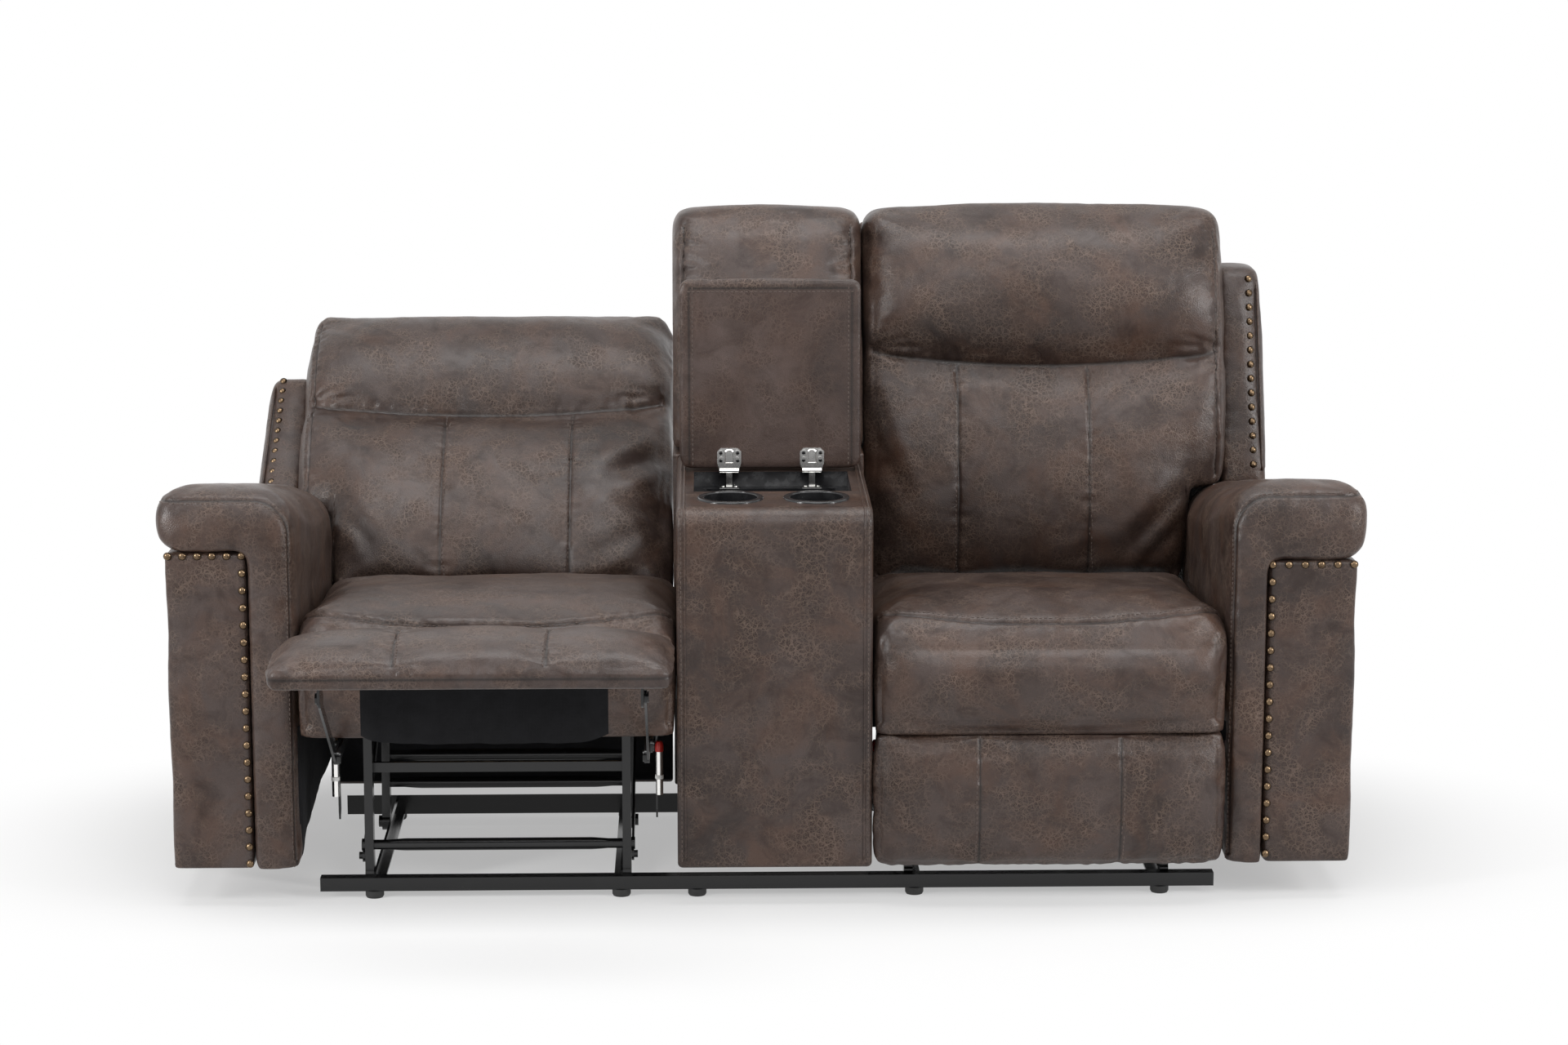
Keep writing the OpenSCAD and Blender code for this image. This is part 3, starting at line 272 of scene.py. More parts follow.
def leather(name, light=1.0, smooth=0.0):
    """Brown faux leather: grey and russet clouds, patches of pale cracked veins, fine grain, and
    painted shade along its seams.
    """
    n = Nodes(name)

    def tone(*c):
        return tuple(v * light * LEATHER_TONE for v in c)

    bent = n.warped(7.0, 0.06)
    fine = n.warped(60.0, 0.014)
    clouds = n.noise(5.5, 6.0, 0.58, 0.4, bent)
    colour = n.ramp(clouds, [(0.30, tone(0.022, 0.013, 0.011)), (0.43, tone(0.046, 0.029, 0.024)),
                             (0.55, tone(0.066, 0.045, 0.039)), (0.72, tone(0.088, 0.064, 0.057))])
    russet = n.span(n.noise(10.0, 5.0, 0.6, 0.5, bent), 0.46, 0.64)
    colour = n.mix(n.math("MULTIPLY", russet, 0.75 * (1 - smooth)), colour,
                   tone(0.088, 0.045, 0.029))
    dark = n.span(n.noise(17.0, 7.0, 0.70, 0.8, bent), 0.46, 0.74)
    colour = n.mix(n.math("MULTIPLY", dark, 0.80 * (1 - 0.6 * smooth)), colour,
                   tone(0.026, 0.016, 0.013))
    patch = n.span(n.noise(16.0, 6.0, 0.68, 0.5, bent), 0.42, 0.64)
    wide = n.span(n.cells(112.0, fine), 0.0, 0.12, 1.0, 0.0)
    close = n.span(n.cells(290.0, fine), 0.0, 0.13, 1.0, 0.0)
    veins = n.math("MAXIMUM", wide, n.math("MULTIPLY", close, 0.75))
    worn = n.math("MULTIPLY", veins, patch)
    floor = n.math("MULTIPLY", n.math("SUBTRACT", 1.0, veins), patch)
    colour = n.mix(n.math("MULTIPLY", floor, 0.5), colour, tone(0.026, 0.017, 0.014))
    colour = n.mix(n.math("MULTIPLY", worn, 0.74 * (1 - 0.95 * smooth)), colour,
                   tone(0.182, 0.126, 0.096))
    pebble = n.cells(560.0, None, "F1")
    colour = n.mix(n.math("MULTIPLY", n.span(pebble, 0.25, 0.75), 0.22), colour,
                   tone(0.024, 0.016, 0.013))
    # Painted shade: the colour goes almost black along the seams, where shade falls in their
    # creases
    seam = n.add("ShaderNodeAttribute", attribute_name="seam").outputs["Fac"]
    colour = n.mix(n.math("MULTIPLY", seam, 0.85), colour, tone(0.010, 0.007, 0.006))
    grain = n.math("ADD", pebble, n.math("MULTIPLY", n.noise(300.0, 3.0), 0.8))
    normal = n.bump(grain, 0.0003, 0.7)
    normal = n.bump(n.math("ADD", n.noise(70.0, 5.0, 0.6), n.math("MULTIPLY", worn, 0.35)),
                    0.0009, 0.5, normal)
    rough = n.span(n.math("ADD", clouds, n.math("MULTIPLY", patch, 0.16)), 0.3, 0.8, 0.27, 0.43)
    matt = n.math("MAXIMUM", n.math("MULTIPLY", dark, 0.7), n.math("MULTIPLY", floor, 0.8))
    return n.set(color=colour, rough=rough, spec=n.span(matt, 0, 1, 0.42, 0.16), normal=normal)


def steel(name):
    n = Nodes(name)
    dust = n.span(n.noise(55.0, 6.0, 0.65), 0.55, 0.85)
    colour = n.mix(dust, (0.0055, 0.0055, 0.006), (0.011, 0.011, 0.012))
    peel = n.bump(n.noise(380.0, 2.0), 0.00012, 0.4)
    return n.set(color=colour, rough=n.span(dust, 0, 1, 0.20, 0.34), spec=0.5, normal=peel)


def chrome(name):
    n = Nodes(name)
    brushed = n.noise(160.0, 4.0, 0.6, 0.0, n.stretched((1.0, 6.0, 0.3)))
    haze = n.span(n.noise(40.0, 3.0), 0.5, 0.8)
    return n.set(color=n.mix(haze, (0.90, 0.89, 0.87), (0.80, 0.79, 0.77)), metal=1.0,
                 rough=n.span(haze, 0, 1, 0.20, 0.28), normal=n.bump(brushed, 0.00004, 0.15))


def brass(name):
    """Antique brass, with painted shade where the head turns away towards its edge."""
    n = Nodes(name)
    patina = n.span(n.noise(260.0, 6.0, 0.7, 0.4), 0.42, 0.68)
    colour = n.mix(patina, (0.190, 0.130, 0.078), (0.060, 0.040, 0.026))
    # Painted shade: darker where the head's surface turns away from the front, towards its edge
    face = n.add("ShaderNodeSeparateXYZ", {
        0: n.add("ShaderNodeTexCoord").outputs["Normal"]}).outputs["Y"]
    rim_shade = n.span(n.math("ABSOLUTE", face), 0.35, 0.75, 1.0, 0.0)
    colour = n.mix(rim_shade, colour, (0.030, 0.020, 0.014))
    return n.set(color=colour, metal=1.0, rough=n.span(patina, 0, 1, 0.22, 0.42),
                 normal=n.bump(n.noise(500.0, 3.0), 0.0002, 0.4))


def plastic(name, colour, rough):
    n = Nodes(name)
    haze = n.span(n.noise(45.0, 5.0), 0.4, 0.7)
    return n.set(color=n.mix(haze, colour, tuple(v * 1.5 + 0.002 for v in colour)),
                 rough=n.span(haze, 0, 1, rough, rough + 0.12), spec=0.5,
                 normal=n.bump(n.noise(700.0, 2.0), 0.00012, 0.4))


def timber(name):
    n = Nodes(name)
    rings = n.noise(22.0, 6.0, 0.6, 1.2, n.stretched((0.35, 4.0, 4.0)))
    colour = n.ramp(rings, [(0.3, (0.30, 0.19, 0.10)), (0.5, (0.47, 0.33, 0.19)),
                            (0.7, (0.56, 0.42, 0.26))])
    return n.set(color=colour, rough=0.62, normal=n.bump(rings, 0.0006, 0.5))


def weave(name, colour):
    n = Nodes(name)
    warp, weft = (n.add("ShaderNodeTexWave", {
        "Vector": n.co, "Scale": 190.0, "Distortion": 1.5, "Detail": 2.0},
        bands_direction=way).outputs["Fac"] for way in "XZ")
    both = n.math("MAXIMUM", warp, weft)
    lint = n.span(n.noise(35.0, 6.0, 0.7), 0.4, 0.7)
    tint = n.mix(lint, colour, tuple(v * 1.7 for v in colour))
    return n.set(color=n.mix(n.math("MULTIPLY", both, 0.25), tint, (0.018, 0.018, 0.020)),
                 rough=0.85, spec=0.2, normal=n.bump(both, 0.0004, 0.6))


LEATHER = leather("leather_brown")
LINING = leather("leather_underside", 1.38, 0.7)
STEEL = steel("steel_black")
CHROME = chrome("nickel_bright")
BRASS = brass("brass_antique")
TRAY = plastic("tray_black", (0.012, 0.012, 0.013), 0.16)
RUBBER = plastic("rubber_black", (0.016, 0.016, 0.016), 0.5)
TIMBER = timber("timber_pine")
CLOTH = weave("cloth_black", (0.007, 0.007, 0.008))
THREAD = plastic("thread_brown", (0.078, 0.057, 0.048), 0.7)
RED = plastic("cap_red", (0.45, 0.02, 0.015), 0.3)
WHITE = plastic("ring_white", (0.72, 0.72, 0.70), 0.35)
SLOTS = {"leather": LEATHER, "steel": STEEL, "nickel": CHROME, "nails": BRASS, "tray": TRAY,
         "rubber": RUBBER, "timber": TIMBER, "cloth": CLOTH}


def dress_nodes():
    """Gives each CAD node the material of its slot."""
    for obj in NODES.values():
        mesh = obj.data
        slot = mesh.materials[0].name.split(".")[0]
        mesh.materials[0] = SLOTS[slot]


# Pieces
def placed(name, data):
    obj = bpy.data.objects.new(name, data)
    bpy.context.scene.collection.objects.link(obj)
    return obj


def add_piece(name, mesh, body, material, replaced=(), smooth=True):
    obj = placed(name, mesh)
    mesh.materials.clear()
    mesh.materials.append(material)
    if smooth:
        mesh.polygons.foreach_set("use_smooth", [True] * len(mesh.polygons))
    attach(obj, body)
    if replaced:
        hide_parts(*replaced)
    return obj


class Editing:
    """Opens a mesh for editing and writes it back at the end."""

    def __init__(self, mesh):
        self.mesh, self.bm = mesh, bmesh.new()
        self.bm.from_mesh(mesh)

    def __enter__(self):
        return self.bm

    def __exit__(self, *error):
        self.bm.to_mesh(self.mesh)
        self.bm.free()


def new_mesh(name, co, faces, outward=False):
    """A mesh of the given points and faces; outward turns its faces to the outside."""
    mesh = bpy.data.meshes.new(name)
    mesh.from_pydata(co, [], faces)
    if outward:
        with Editing(mesh) as bm:
            bmesh.ops.recalc_face_normals(bm, faces=bm.faces)
    return mesh


def tube_faces(base, rings, n):
    """Faces of a closed tube whose rings of n points start at the index base."""
    faces = []
    for i in range(rings - 1):
        for k in range(n):
            a, b = base + i * n + k, base + i * n + (k + 1) % n
            faces.append((a, b, b + n, a + n))
    faces.append(tuple(base + k for k in range(n - 1, -1, -1)))
    faces.append(tuple(base + (rings - 1) * n + k for k in range(n)))
    return faces


def joined_copy(node):
    """The CAD node's mesh with its split corners joined and its flat faces made whole."""
    mesh = NODES[node].data.copy()
    with Editing(mesh) as bm:
        bmesh.ops.remove_doubles(bm, verts=bm.verts, dist=1e-5)
        bmesh.ops.dissolve_limit(bm, angle_limit=math.radians(0.5), verts=bm.verts,
                                 edges=bm.edges)
        bmesh.ops.recalc_face_normals(bm, faces=bm.faces)
    mesh.materials.clear()
    return mesh


def with_modifier(mesh, kind, **props):
    obj = placed("work", mesh)
    mod = obj.modifiers.new("m", kind)
    for k, v in props.items():
        setattr(mod, k, v)
    dg = bpy.context.evaluated_depsgraph_get()
    out = bpy.data.meshes.new_from_object(obj.evaluated_get(dg))
    bpy.data.objects.remove(obj)
    return out


def tree_of(mesh):
    return BVHTree.FromPolygons([v.co for v in mesh.vertices],
                                [tuple(p.vertices) for p in mesh.polygons])


def kd_of(points):
    kd = KDTree(len(points))
    for i, p in enumerate(points):
        kd.insert(p, i)
    kd.balance()
    return kd


def cast(tree, m, points, direction):
    """Where rays from drawn points in a drawn direction meet the surface."""
    turn = m.to_3x3()
    d = (turn @ Vector(direction)).normalized()
    hits = []
    for p in points:
        hit = tree.ray_cast(m @ Vector(p), d)
        if hit[0] is not None:
            hits.append(hit[0])
    return np.array(hits)


def resample(points, pitch):
    """Evenly spaced points along a row of points, in metres."""
    points = np.asarray(points, float)
    step = np.linalg.norm(np.diff(points, axis=0), axis=1)
    at = np.concatenate([[0], np.cumsum(step)])
    n = max(2, int(at[-1] / pitch) + 1)
    want = np.linspace(0, at[-1], n)
    return np.stack([np.interp(want, at, points[:, k]) for k in range(3)], 1)


def line_faces(mesh, inv, test, material):
    """Gives the faces that the test picks, by drawn centre and normal, another material."""
    mesh.materials.append(material)
    n = len(mesh.polygons)
    mid, out = np.empty(n * 3), np.empty(n * 3)
    mesh.polygons.foreach_get("center", mid)
    mesh.polygons.foreach_get("normal", out)
    out = out.reshape(-1, 3) @ np.array(inv.to_3x3()).T
    out /= np.linalg.norm(out, axis=1)[:, None] + 1e-12
    picked = test(apply(inv, mid.reshape(-1, 3)), out)
    mesh.polygons.foreach_set("material_index", picked.astype(np.int32))


# Sewn thread in metres; the shape gives places along a stitch and their share of its radius
STITCH_PITCH, STITCH_L, STITCH_R, STITCH_LIFT = 0.0078, 0.0055, 0.0009, 0.0002
STITCH_SHAPE = ((-0.5, 0.35), (-0.3, 1), (0.3, 1), (0.5, 0.35))
STITCH_SIDES, STITCH_FLAT = 6, 0.8


def stitches(name, runs, tree, body, aside=0.0055):
    """Sewn thread along each run of surface points, set aside from it on the surface."""
    co, faces = [], []
    for run, way in runs:
        if len(run) < 3:
            continue
        pts = resample(run, STITCH_PITCH)
        tan = np.gradient(pts, axis=0)
        tan /= np.linalg.norm(tan, axis=1)[:, None] + 1e-12
        for p, t in zip(pts, tan):
            t = Vector(t)
            at, out = tree.find_nearest(Vector(p))[:2]
            at, up = tree.find_nearest(at + out.cross(t).normalized() * aside * way)[:2]
            at = at + up * STITCH_LIFT
            across = up.cross(t).normalized()
            faces += tube_faces(len(co), len(STITCH_SHAPE), STITCH_SIDES)
            for along, share in STITCH_SHAPE:
                for k in range(STITCH_SIDES):
                    a = k * math.pi / 3
                    co.append(at + t * along * STITCH_L
                              + (across * math.cos(a) + up * math.sin(a) * STITCH_FLAT)
                              * STITCH_R * share)
    add_piece(name, new_mesh(name, co, faces), body, THREAD)


def piping(name, runs, body, r):
    """Round welts along runs of points."""
    sides, pitch = 8, 0.008
    co, faces = [], []
    for run in runs:
        pts = resample(run, pitch)
        faces += tube_faces(len(co), len(pts), sides)
        up = Vector((0.13, 0.31, 0.94))
        for p, t in zip(pts, np.gradient(pts, axis=0)):
            t = Vector(t).normalized()
            a = t.cross(up).normalized()
            b = t.cross(a).normalized()
            for k in range(sides):
                ang = k * 2 * math.pi / sides
                co.append(Vector(p) + (a * math.cos(ang) + b * math.sin(ang)) * r)
            up = a.cross(t).normalized()
    add_piece(name, new_mesh(name, co, faces, outward=True), body, LEATHER)


# Padded pieces: each CAD solid is remeshed, swollen by a cloth simulation between its sewn
# lines, subdivided, then creased and stitched along those lines.
class Pad:
    """A padded piece: the CAD node it dresses, its body, and how it is swollen and sewn.

    A seam is a row of drawn points, the direction that casts them onto the surface and the
    side its stitches lie on, 0 for none. A fold is its two ends, width, depth and the axes
    they are drawn in. A dome is the spread of a face from -1 to 1, its rise and its power.
    rigid, lining and fit are functions of drawn points. Lengths are in millimetres.
    """
    voxel, pressure, cap = 9, 4.0, 12
    give, least, fit = 1.5, None, None
    seams, wide, dip, level, pucker = (), 9, 3.2, 0.0, 0.9
    folds, domes, uneven = (), (), 0.9
    rigid, nails = None, None
    lining, lined_with = None, CLOTH
    extra, fill = (), 0.7
    moved = None

    def __init__(self, node, body, side, kind="base", **options):
        self.node, self.body = node, body
        self.m = pose(side, kind)
        self.inv = self.m.inverted()
        for name, value in options.items():
            setattr(self, name, value)


# How far a pad's board is grown and brought forward, and what seams and nails hold still: a
# share of the pad's seam width and a reach, in millimetres
BOARD_MARGIN, BOARD_FORWARD = (9, 0, 13), 3
HELD_BY_SEAM, HELD_BY_NAIL = 0.8, 8

# Pitches of the points on a seam and the reach of the finer faces beside it, in metres
SEAM_PITCH, FINE_PITCH, FINE_REACH = 0.004, 0.0015, 0.011

# Waves of the leather and puckers of its seams, in metres; widths round a seam in millimetres:
# its line of painted shade, its crease, the valley about it, the puckers and the strip it steadies
BROAD, SMALL, PUCKERS = 0.15, 0.045, 0.022
SEAM_SHADE_W, CREASE_W, VALLEY_W, PUCKER_W, STEADY_W = 2.3, 3.6, 11, 9, 12
NAIL_W = 7


def grown_board(pad, node):
    """The board inside a pad, larger all round, so that the pad's cover takes it in."""
    board = joined_copy(node)
    co = apply(pad.inv, verts(board))
    mid = (co.min(0) + co.max(0)) / 2
    half = (co.max(0) - co.min(0)) / 2
    co = mid + (co - mid) * ((half + np.array(BOARD_MARGIN)) / half)
    co[:, 1] -= BOARD_FORWARD * (co[:, 1] < mid[1])
    put(board, apply(pad.m, co))
    return board


def seam_runs(pad, mesh):
    tree = tree_of(mesh)
    runs = [(cast(tree, pad.m, p, d), way) for p, d, way in pad.seams]
    return [(r, way) for r, way in runs if len(r) > 2]


def to_nails(pad, drawn):
    d = drawn[:, None, [0, 2]] - pad.nails[None]
    return np.linalg.norm(d, axis=2).min(1)


def start(pad):
    """Remeshes the CAD solid and finds the points that the cloth simulation holds still."""
    mesh = joined_copy(pad.node)
    drawn = apply(pad.inv, verts(mesh))
    pad.box = (drawn.min(0), drawn.max(0))
    if pad.extra:
        with Editing(mesh) as bm:
            for node in pad.extra:
                bm.from_mesh(grown_board(pad, node))
    mesh = with_modifier(mesh, "REMESH", mode="VOXEL", voxel_size=pad.voxel / 1000,
                         adaptivity=0.0)
    pad.mesh = with_modifier(mesh, "SMOOTH", factor=0.5, iterations=4)
    pad.rest = verts(pad.mesh)
    drawn = apply(pad.inv, pad.rest)
    held = pad.rigid(drawn) if pad.rigid else np.zeros(len(drawn), bool)
    lines = [resample(run, SEAM_PITCH) for run, way in seam_runs(pad, pad.mesh)]
    if lines:
        kd = kd_of(np.concatenate(lines))
        d = np.array([kd.find(p)[2] for p in pad.rest]) * 1000
        held = held | (d < pad.wide * HELD_BY_SEAM)
    if pad.nails is not None:
        held = held | (to_nails(pad, drawn) < HELD_BY_NAIL)
    pad.held = held


def simulate(pads):
    for pad in pads:
        obj = placed("sim_" + pad.node, pad.mesh)
        group = obj.vertex_groups.new(name="held")
        group.add([int(i) for i in np.nonzero(pad.held)[0]], 1.0, "REPLACE")
        cloth = obj.modifiers.new("cloth", "CLOTH")
        s = cloth.settings
        s.quality = 4
        s.mass = 0.35
        s.tension_stiffness = 12
        s.compression_stiffness = 8
        s.shear_stiffness = 5
        s.bending_stiffness = 0.6
        s.use_pressure = True
        s.uniform_pressure_force = pad.pressure
        s.vertex_group_mass = "held"
        s.effector_weights.gravity = 0
        cloth.collision_settings.use_collision = False
        cloth.collision_settings.use_self_collision = False
        pad.obj = obj
    scene = bpy.context.scene
    for f in range(1, FRAMES + 1):
        scene.frame_set(f)
    dg = bpy.context.evaluated_depsgraph_get()
    for pad in pads:
        pad.moved = verts(bpy.data.meshes.new_from_object(pad.obj.evaluated_get(dg)))
        bpy.data.objects.remove(pad.obj)
    scene.frame_set(1)


def swollen(pad):
    """Where the cloth came to rest, held within the pad's cap."""
    if pad.moved is None:
        return pad.rest
    cap = pad.cap / 1000
    d = pad.moved - pad.rest
    size = np.linalg.norm(d, axis=1)[:, None] + 1e-12
    return pad.rest + d / size * cap * np.tanh(size / cap)


def refine(mesh, runs):
    """Finer faces beside the seams. Gives each point's distance in millimetres from them and
    the nearest place on them."""
    if not runs:
        return np.full(len(mesh.vertices), 1e3), verts(mesh)
    line = np.concatenate([resample(run, FINE_PITCH) for run, way in runs])
    kd = kd_of(line)
    with Editing(mesh) as bm:
        near = {v for v in bm.verts if kd.find(v.co)[2] < FINE_REACH}
        edges = [e for e in bm.edges if e.verts[0] in near and e.verts[1] in near]
        bmesh.ops.subdivide_edges(bm, edges=edges, cuts=1, use_grid_fill=True)
    found = [kd.find(p) for p in verts(mesh)]
    return np.array([f[2] for f in found]) * 1000, line[[f[1] for f in found]]


def hill(d, width):
    """1 where d is 0, falling to 0.37 at the width."""
    return np.exp(-(d / width) ** 2)


def seam_push(pad, co, dist, along):
    """Unevenness of the leather, and the crease, valley and puckers along its seams."""
    push = (pad.uneven * 1.2 * waves(co, BROAD, 3)
            + pad.uneven * 0.22 * waves(co, SMALL, 5))
    push = push * (0.35 + 0.65 * np.clip(dist / STEADY_W, 0, 1))
    push -= pad.dip * hill(dist, CREASE_W) + pad.dip * 0.55 * hill(dist, VALLEY_W)
    push += pad.level * hill(dist, STEADY_W)
    push += pad.pucker * waves(along, PUCKERS, 7) * hill(dist - PUCKER_W, PUCKER_W)
    return push


def fold_push(fold, drawn, out):
    """A valley along the fold, deepest in its middle, with a ridge on either side."""
    a, b, width, depth, axes = fold
    a, b = np.array(a, float), np.array(b, float)
    q = drawn[:, axes]
    t = np.clip((q - a) @ (b - a) / ((b - a) @ (b - a)), 0, 1)
    d = np.linalg.norm(q - (a + t[:, None] * (b - a)), axis=1)
    other = ({0, 1, 2} - set(axes)).pop()
    facing = np.clip(-out[:, other] * 1.5 if other == 1 else out[:, other] * 1.5, 0, 1)
    shape = np.sin(np.pi * (0.08 + 0.84 * t)) ** 0.8
    return facing * shape * (-depth * hill(d, width)
                             + depth * 0.55 * hill(d - 1.9 * width, width))


def dome(domes, drawn):
    """Fullness of a front face in millimetres: proud in the middle, sunk towards its edges."""
    high = []
    for spread, rise, power in domes:
        u, v = spread(drawn)
        inside = (np.abs(u) < 1) & (np.abs(v) < 1)
        full = (1 - np.abs(u) ** power) * (1 - np.abs(v) ** (power * 0.7))
        high.append(np.where(inside, rise * (2 * full - 1), -rise))
    return np.max(high, axis=0)


def finish_pad(pad):
    """Builds the leather piece from the swollen mesh, and its stitches."""
    lo, hi = pad.box[0][0] - pad.give, pad.box[1][0] + pad.give
    drawn = apply(pad.inv, swollen(pad))
    drawn[:, 0] = np.clip(drawn[:, 0], lo, hi)
    put(pad.mesh, apply(pad.m, drawn))
    mesh = with_modifier(pad.mesh, "SMOOTH", factor=0.5, iterations=2)
    mesh = with_modifier(mesh, "SUBSURF", levels=1, render_levels=1)
    runs = seam_runs(pad, mesh)
    dist, along = refine(mesh, runs)
    co, nrm = verts(mesh), normals(mesh)
    drawn = apply(pad.inv, co)
    out = nrm @ np.array(pad.inv.to_3x3()).T
    out /= np.linalg.norm(out, axis=1)[:, None] + 1e-12
    push = seam_push(pad, co, dist, along)
    if pad.domes:
        push += np.clip(-out[:, 1] * 1.4, 0, 1) * dome(pad.domes, drawn)
    for fold in pad.folds:
        push += fold_push(fold, drawn, out)
    if pad.rigid is not None:
        push *= 1 - 0.9 * pad.rigid(drawn).astype(float)
    if pad.nails is not None:
        push *= 1 - hill(to_nails(pad, drawn), NAIL_W)
    drawn = apply(pad.inv, co + nrm * push[:, None] / 1000)
    if pad.fit:
        drawn = pad.fit(drawn)
    drawn[:, 0] = np.clip(drawn[:, 0], lo, hi)
    if pad.least is not None:
        drawn[:, 1] = np.maximum(drawn[:, 1], pad.least)
    put(mesh, apply(pad.m, drawn))
    # Painted shade: the seam attribute darkens the leather along the seams
    seam_shade_layer = mesh.attributes.new("seam", "FLOAT", "POINT")
    seam_shade_layer.data.foreach_set("value", hill(dist, SEAM_SHADE_W).astype(np.float32))
    name = pad.node + "_leather"
    mesh.name = name
    piece = add_piece(name, mesh, pad.body, LEATHER, (pad.node, *pad.extra))
    if pad.lining:
        line_faces(mesh, pad.inv, pad.lining, pad.lined_with)
    rows = [(run, way) for run, way in runs if way]
    if rows:
        stitches(pad.node + "_stitches", rows, tree_of(mesh), pad.body)


# Directions and pairs of axes in drawn coordinates
FRONT, DOWN, UP = (0, 1, 0), (0, 0, -1), (0, 0, 1)
XZ, XY = [0, 2], [0, 1]


def points_along(fn, n=60):
    return [fn(i / n) for i in range(n + 1)]


def row(a, b, n=60):
    """Points on the straight line from a to b."""
    return points_along(lambda t: tuple(p + t * (q - p) for p, q in zip(a, b)), n)


def channels(side):
    """Where a cushion's two upright rows of stitches stand and the side they lie on."""
    return [(seat_mid(side) + s * CHANNEL, -s) for s in (-1, 1)]


def seam_height(side, x):
    mid, half = (back_in(side) + BACK_OUT) / 2, (BACK_OUT - back_in(side)) / 2
    return SEAM_Z - SEAM_DIP * (1 - ((x - mid) / half) ** 2)


def field(x0, x1, mid_z, half_z):
    """Spreads a rectangle of a front face from -1 to 1 both ways."""
    return lambda p: ((2 * p[:, 0] - x0 - x1) / (x1 - x0), (p[:, 2] - mid_z) / half_z)


def over_arm(p):
    """The step of a back cushion reaches down to just above the arm's top."""
    w = np.clip((STEP_Z - p[:, 2]) / 28, 0, 1) * (p[:, 0] > STEP_X)
    return p - np.outer(w, (0, 0, STEP_DROP))


def seat_lip(p):
    """The seat's front lip comes down to the top of the closed footrest."""
    low = (p[:, 2] < LIP_TOP) & (p[:, 1] < 32)
    down = np.maximum(p[:, 2] - 7 * np.clip((LIP_TOP - p[:, 2]) / 10, 0, 1), LIP_Z)
    p[:, 2] = np.where(low, down, p[:, 2])
    return p


def pad_top(p):
    """The footrest's top edge comes up full to just under the seat's lip."""
    up = np.minimum(p[:, 2] + 3 * np.clip((p[:, 2] - PAD_EDGE) / 10, 0, 1), PAD_TOP)
    p[:, 2] = np.where(p[:, 2] > PAD_EDGE, up, p[:, 2])
    return p


def back_folds(side, b0):
    b1 = BACK_OUT
    if side == "left":
        folds = [((b0 + 2, 700), (b0 + 120, 622), 20, 7.0, XZ),
                 ((b0 + 2, 540), (b0 + 104, 596), 18, 5.0, XZ),
                 ((b0 + 150, 462), (b0 + 50, 520), 15, 3.0, XZ),
                 ((b1 - 150, 480), (b1 - 84, 570), 14, 3.0, XZ)]
    else:
        folds = [((b1 - 200, 455), (b1 - 92, 570), 16, 4.0, XZ),
                 ((b1 - 150, 450), (b1 - 76, 530), 12, 3.4, XZ),
                 ((b1 - 300, 452), (b1 - 190, 490), 14, 2.4, XZ),
                 ((b0 + 2, 690), (b0 + 70, 570), 18, 3.6, XZ)]
    for dx, dz in ((70, 26), (95, 9), (80, -14)):
        folds.append(((b0 + 6, SEAM_Z + 4), (b0 + dx, SEAM_Z + dz), 5, 2.0, XZ))
        folds.append(((b1 - 6, SEAM_Z + 4), (b1 - dx, SEAM_Z + dz), 5, 2.0, XZ))
    return folds


def back_cushion(side):
    b0 = back_in(side)
    mid, half = (b0 + BACK_OUT) / 2, (BACK_OUT - b0) / 2
    cross = [(x, CAST_Y, seam_height(side, x))
             for x in points_along(lambda t: b0 + 8 + t * (BACK_OUT - b0 - 16))]
    seams = [(cross, FRONT, 0)]
    for x, way in channels(side):
        seams.append((row((x, CAST_Y, LOW_Z + 14), (x, CAST_Y, seam_height(side, x) - 4)),
                      FRONT, way))
    seams.append((row((BACK_OUT - 13, CAST_Y, WIDE_Z + 14), (BACK_OUT - 13, CAST_Y, BACK_H - 38)),
                  FRONT, 1))

    def lumbar(p):
        top = seam_height(side, p[:, 0])
        return (p[:, 0] - mid) / half, (2 * p[:, 2] - top - LOW_Z) / (top - LOW_Z)

    def head(p):
        low = seam_height(side, p[:, 0])
        return (p[:, 0] - mid) / half, (2 * p[:, 2] - low - BACK_H) / (BACK_H - low)

    return Pad(side + "_back_cushion", side + "_back", side, "back", voxel=10, pressure=7.0,
               cap=15, seams=seams, folds=back_folds(side, b0), dip=2.6, uneven=1.0,
               level=1.5, domes=[(lumbar, 14, 3.2), (head, 10, 3.6)], give=2.2, fit=over_arm,
               rigid=lambda p: p[:, 1] > BACK_REAR + (p[:, 2] - LOW_Z) * BACK_SLOPE - 14)


def seat_cushion(side):
    x0, x1 = seat_in(side), SEAT_OUT
    seam = points_along(lambda t: (x0 + 6 + t * (x1 - x0 - 12),
                                   10 + 42 * abs(2 * t - 1) ** 2.2, 700))
    return Pad(side + "_seat_cushion", "base", side, pressure=6.0, cap=14,
               seams=[(seam, DOWN, 1)],
               folds=[((x0 + 20, 440), (x0 + 170, 400), 9, 2.2, XY),
                      ((x1 - 30, 430), (x1 - 190, 385), 9, 2.2, XY),
                      ((x0 + 60, 470), (x0 + 300, 455), 8, 2.0, XY),
                      ((x1 - 20, 250), (x1 - 80, 330), 9, 1.6, XY)],
               domes=[(field(x0, x1, 352, 74), 10, 4.5)], give=2.4, fit=seat_lip, uneven=1.2,
               rigid=lambda p: (p[:, 2] < 300) | (p[:, 1] > 494)
               | ((p[:, 2] < 352) & (p[:, 1] > 8)))


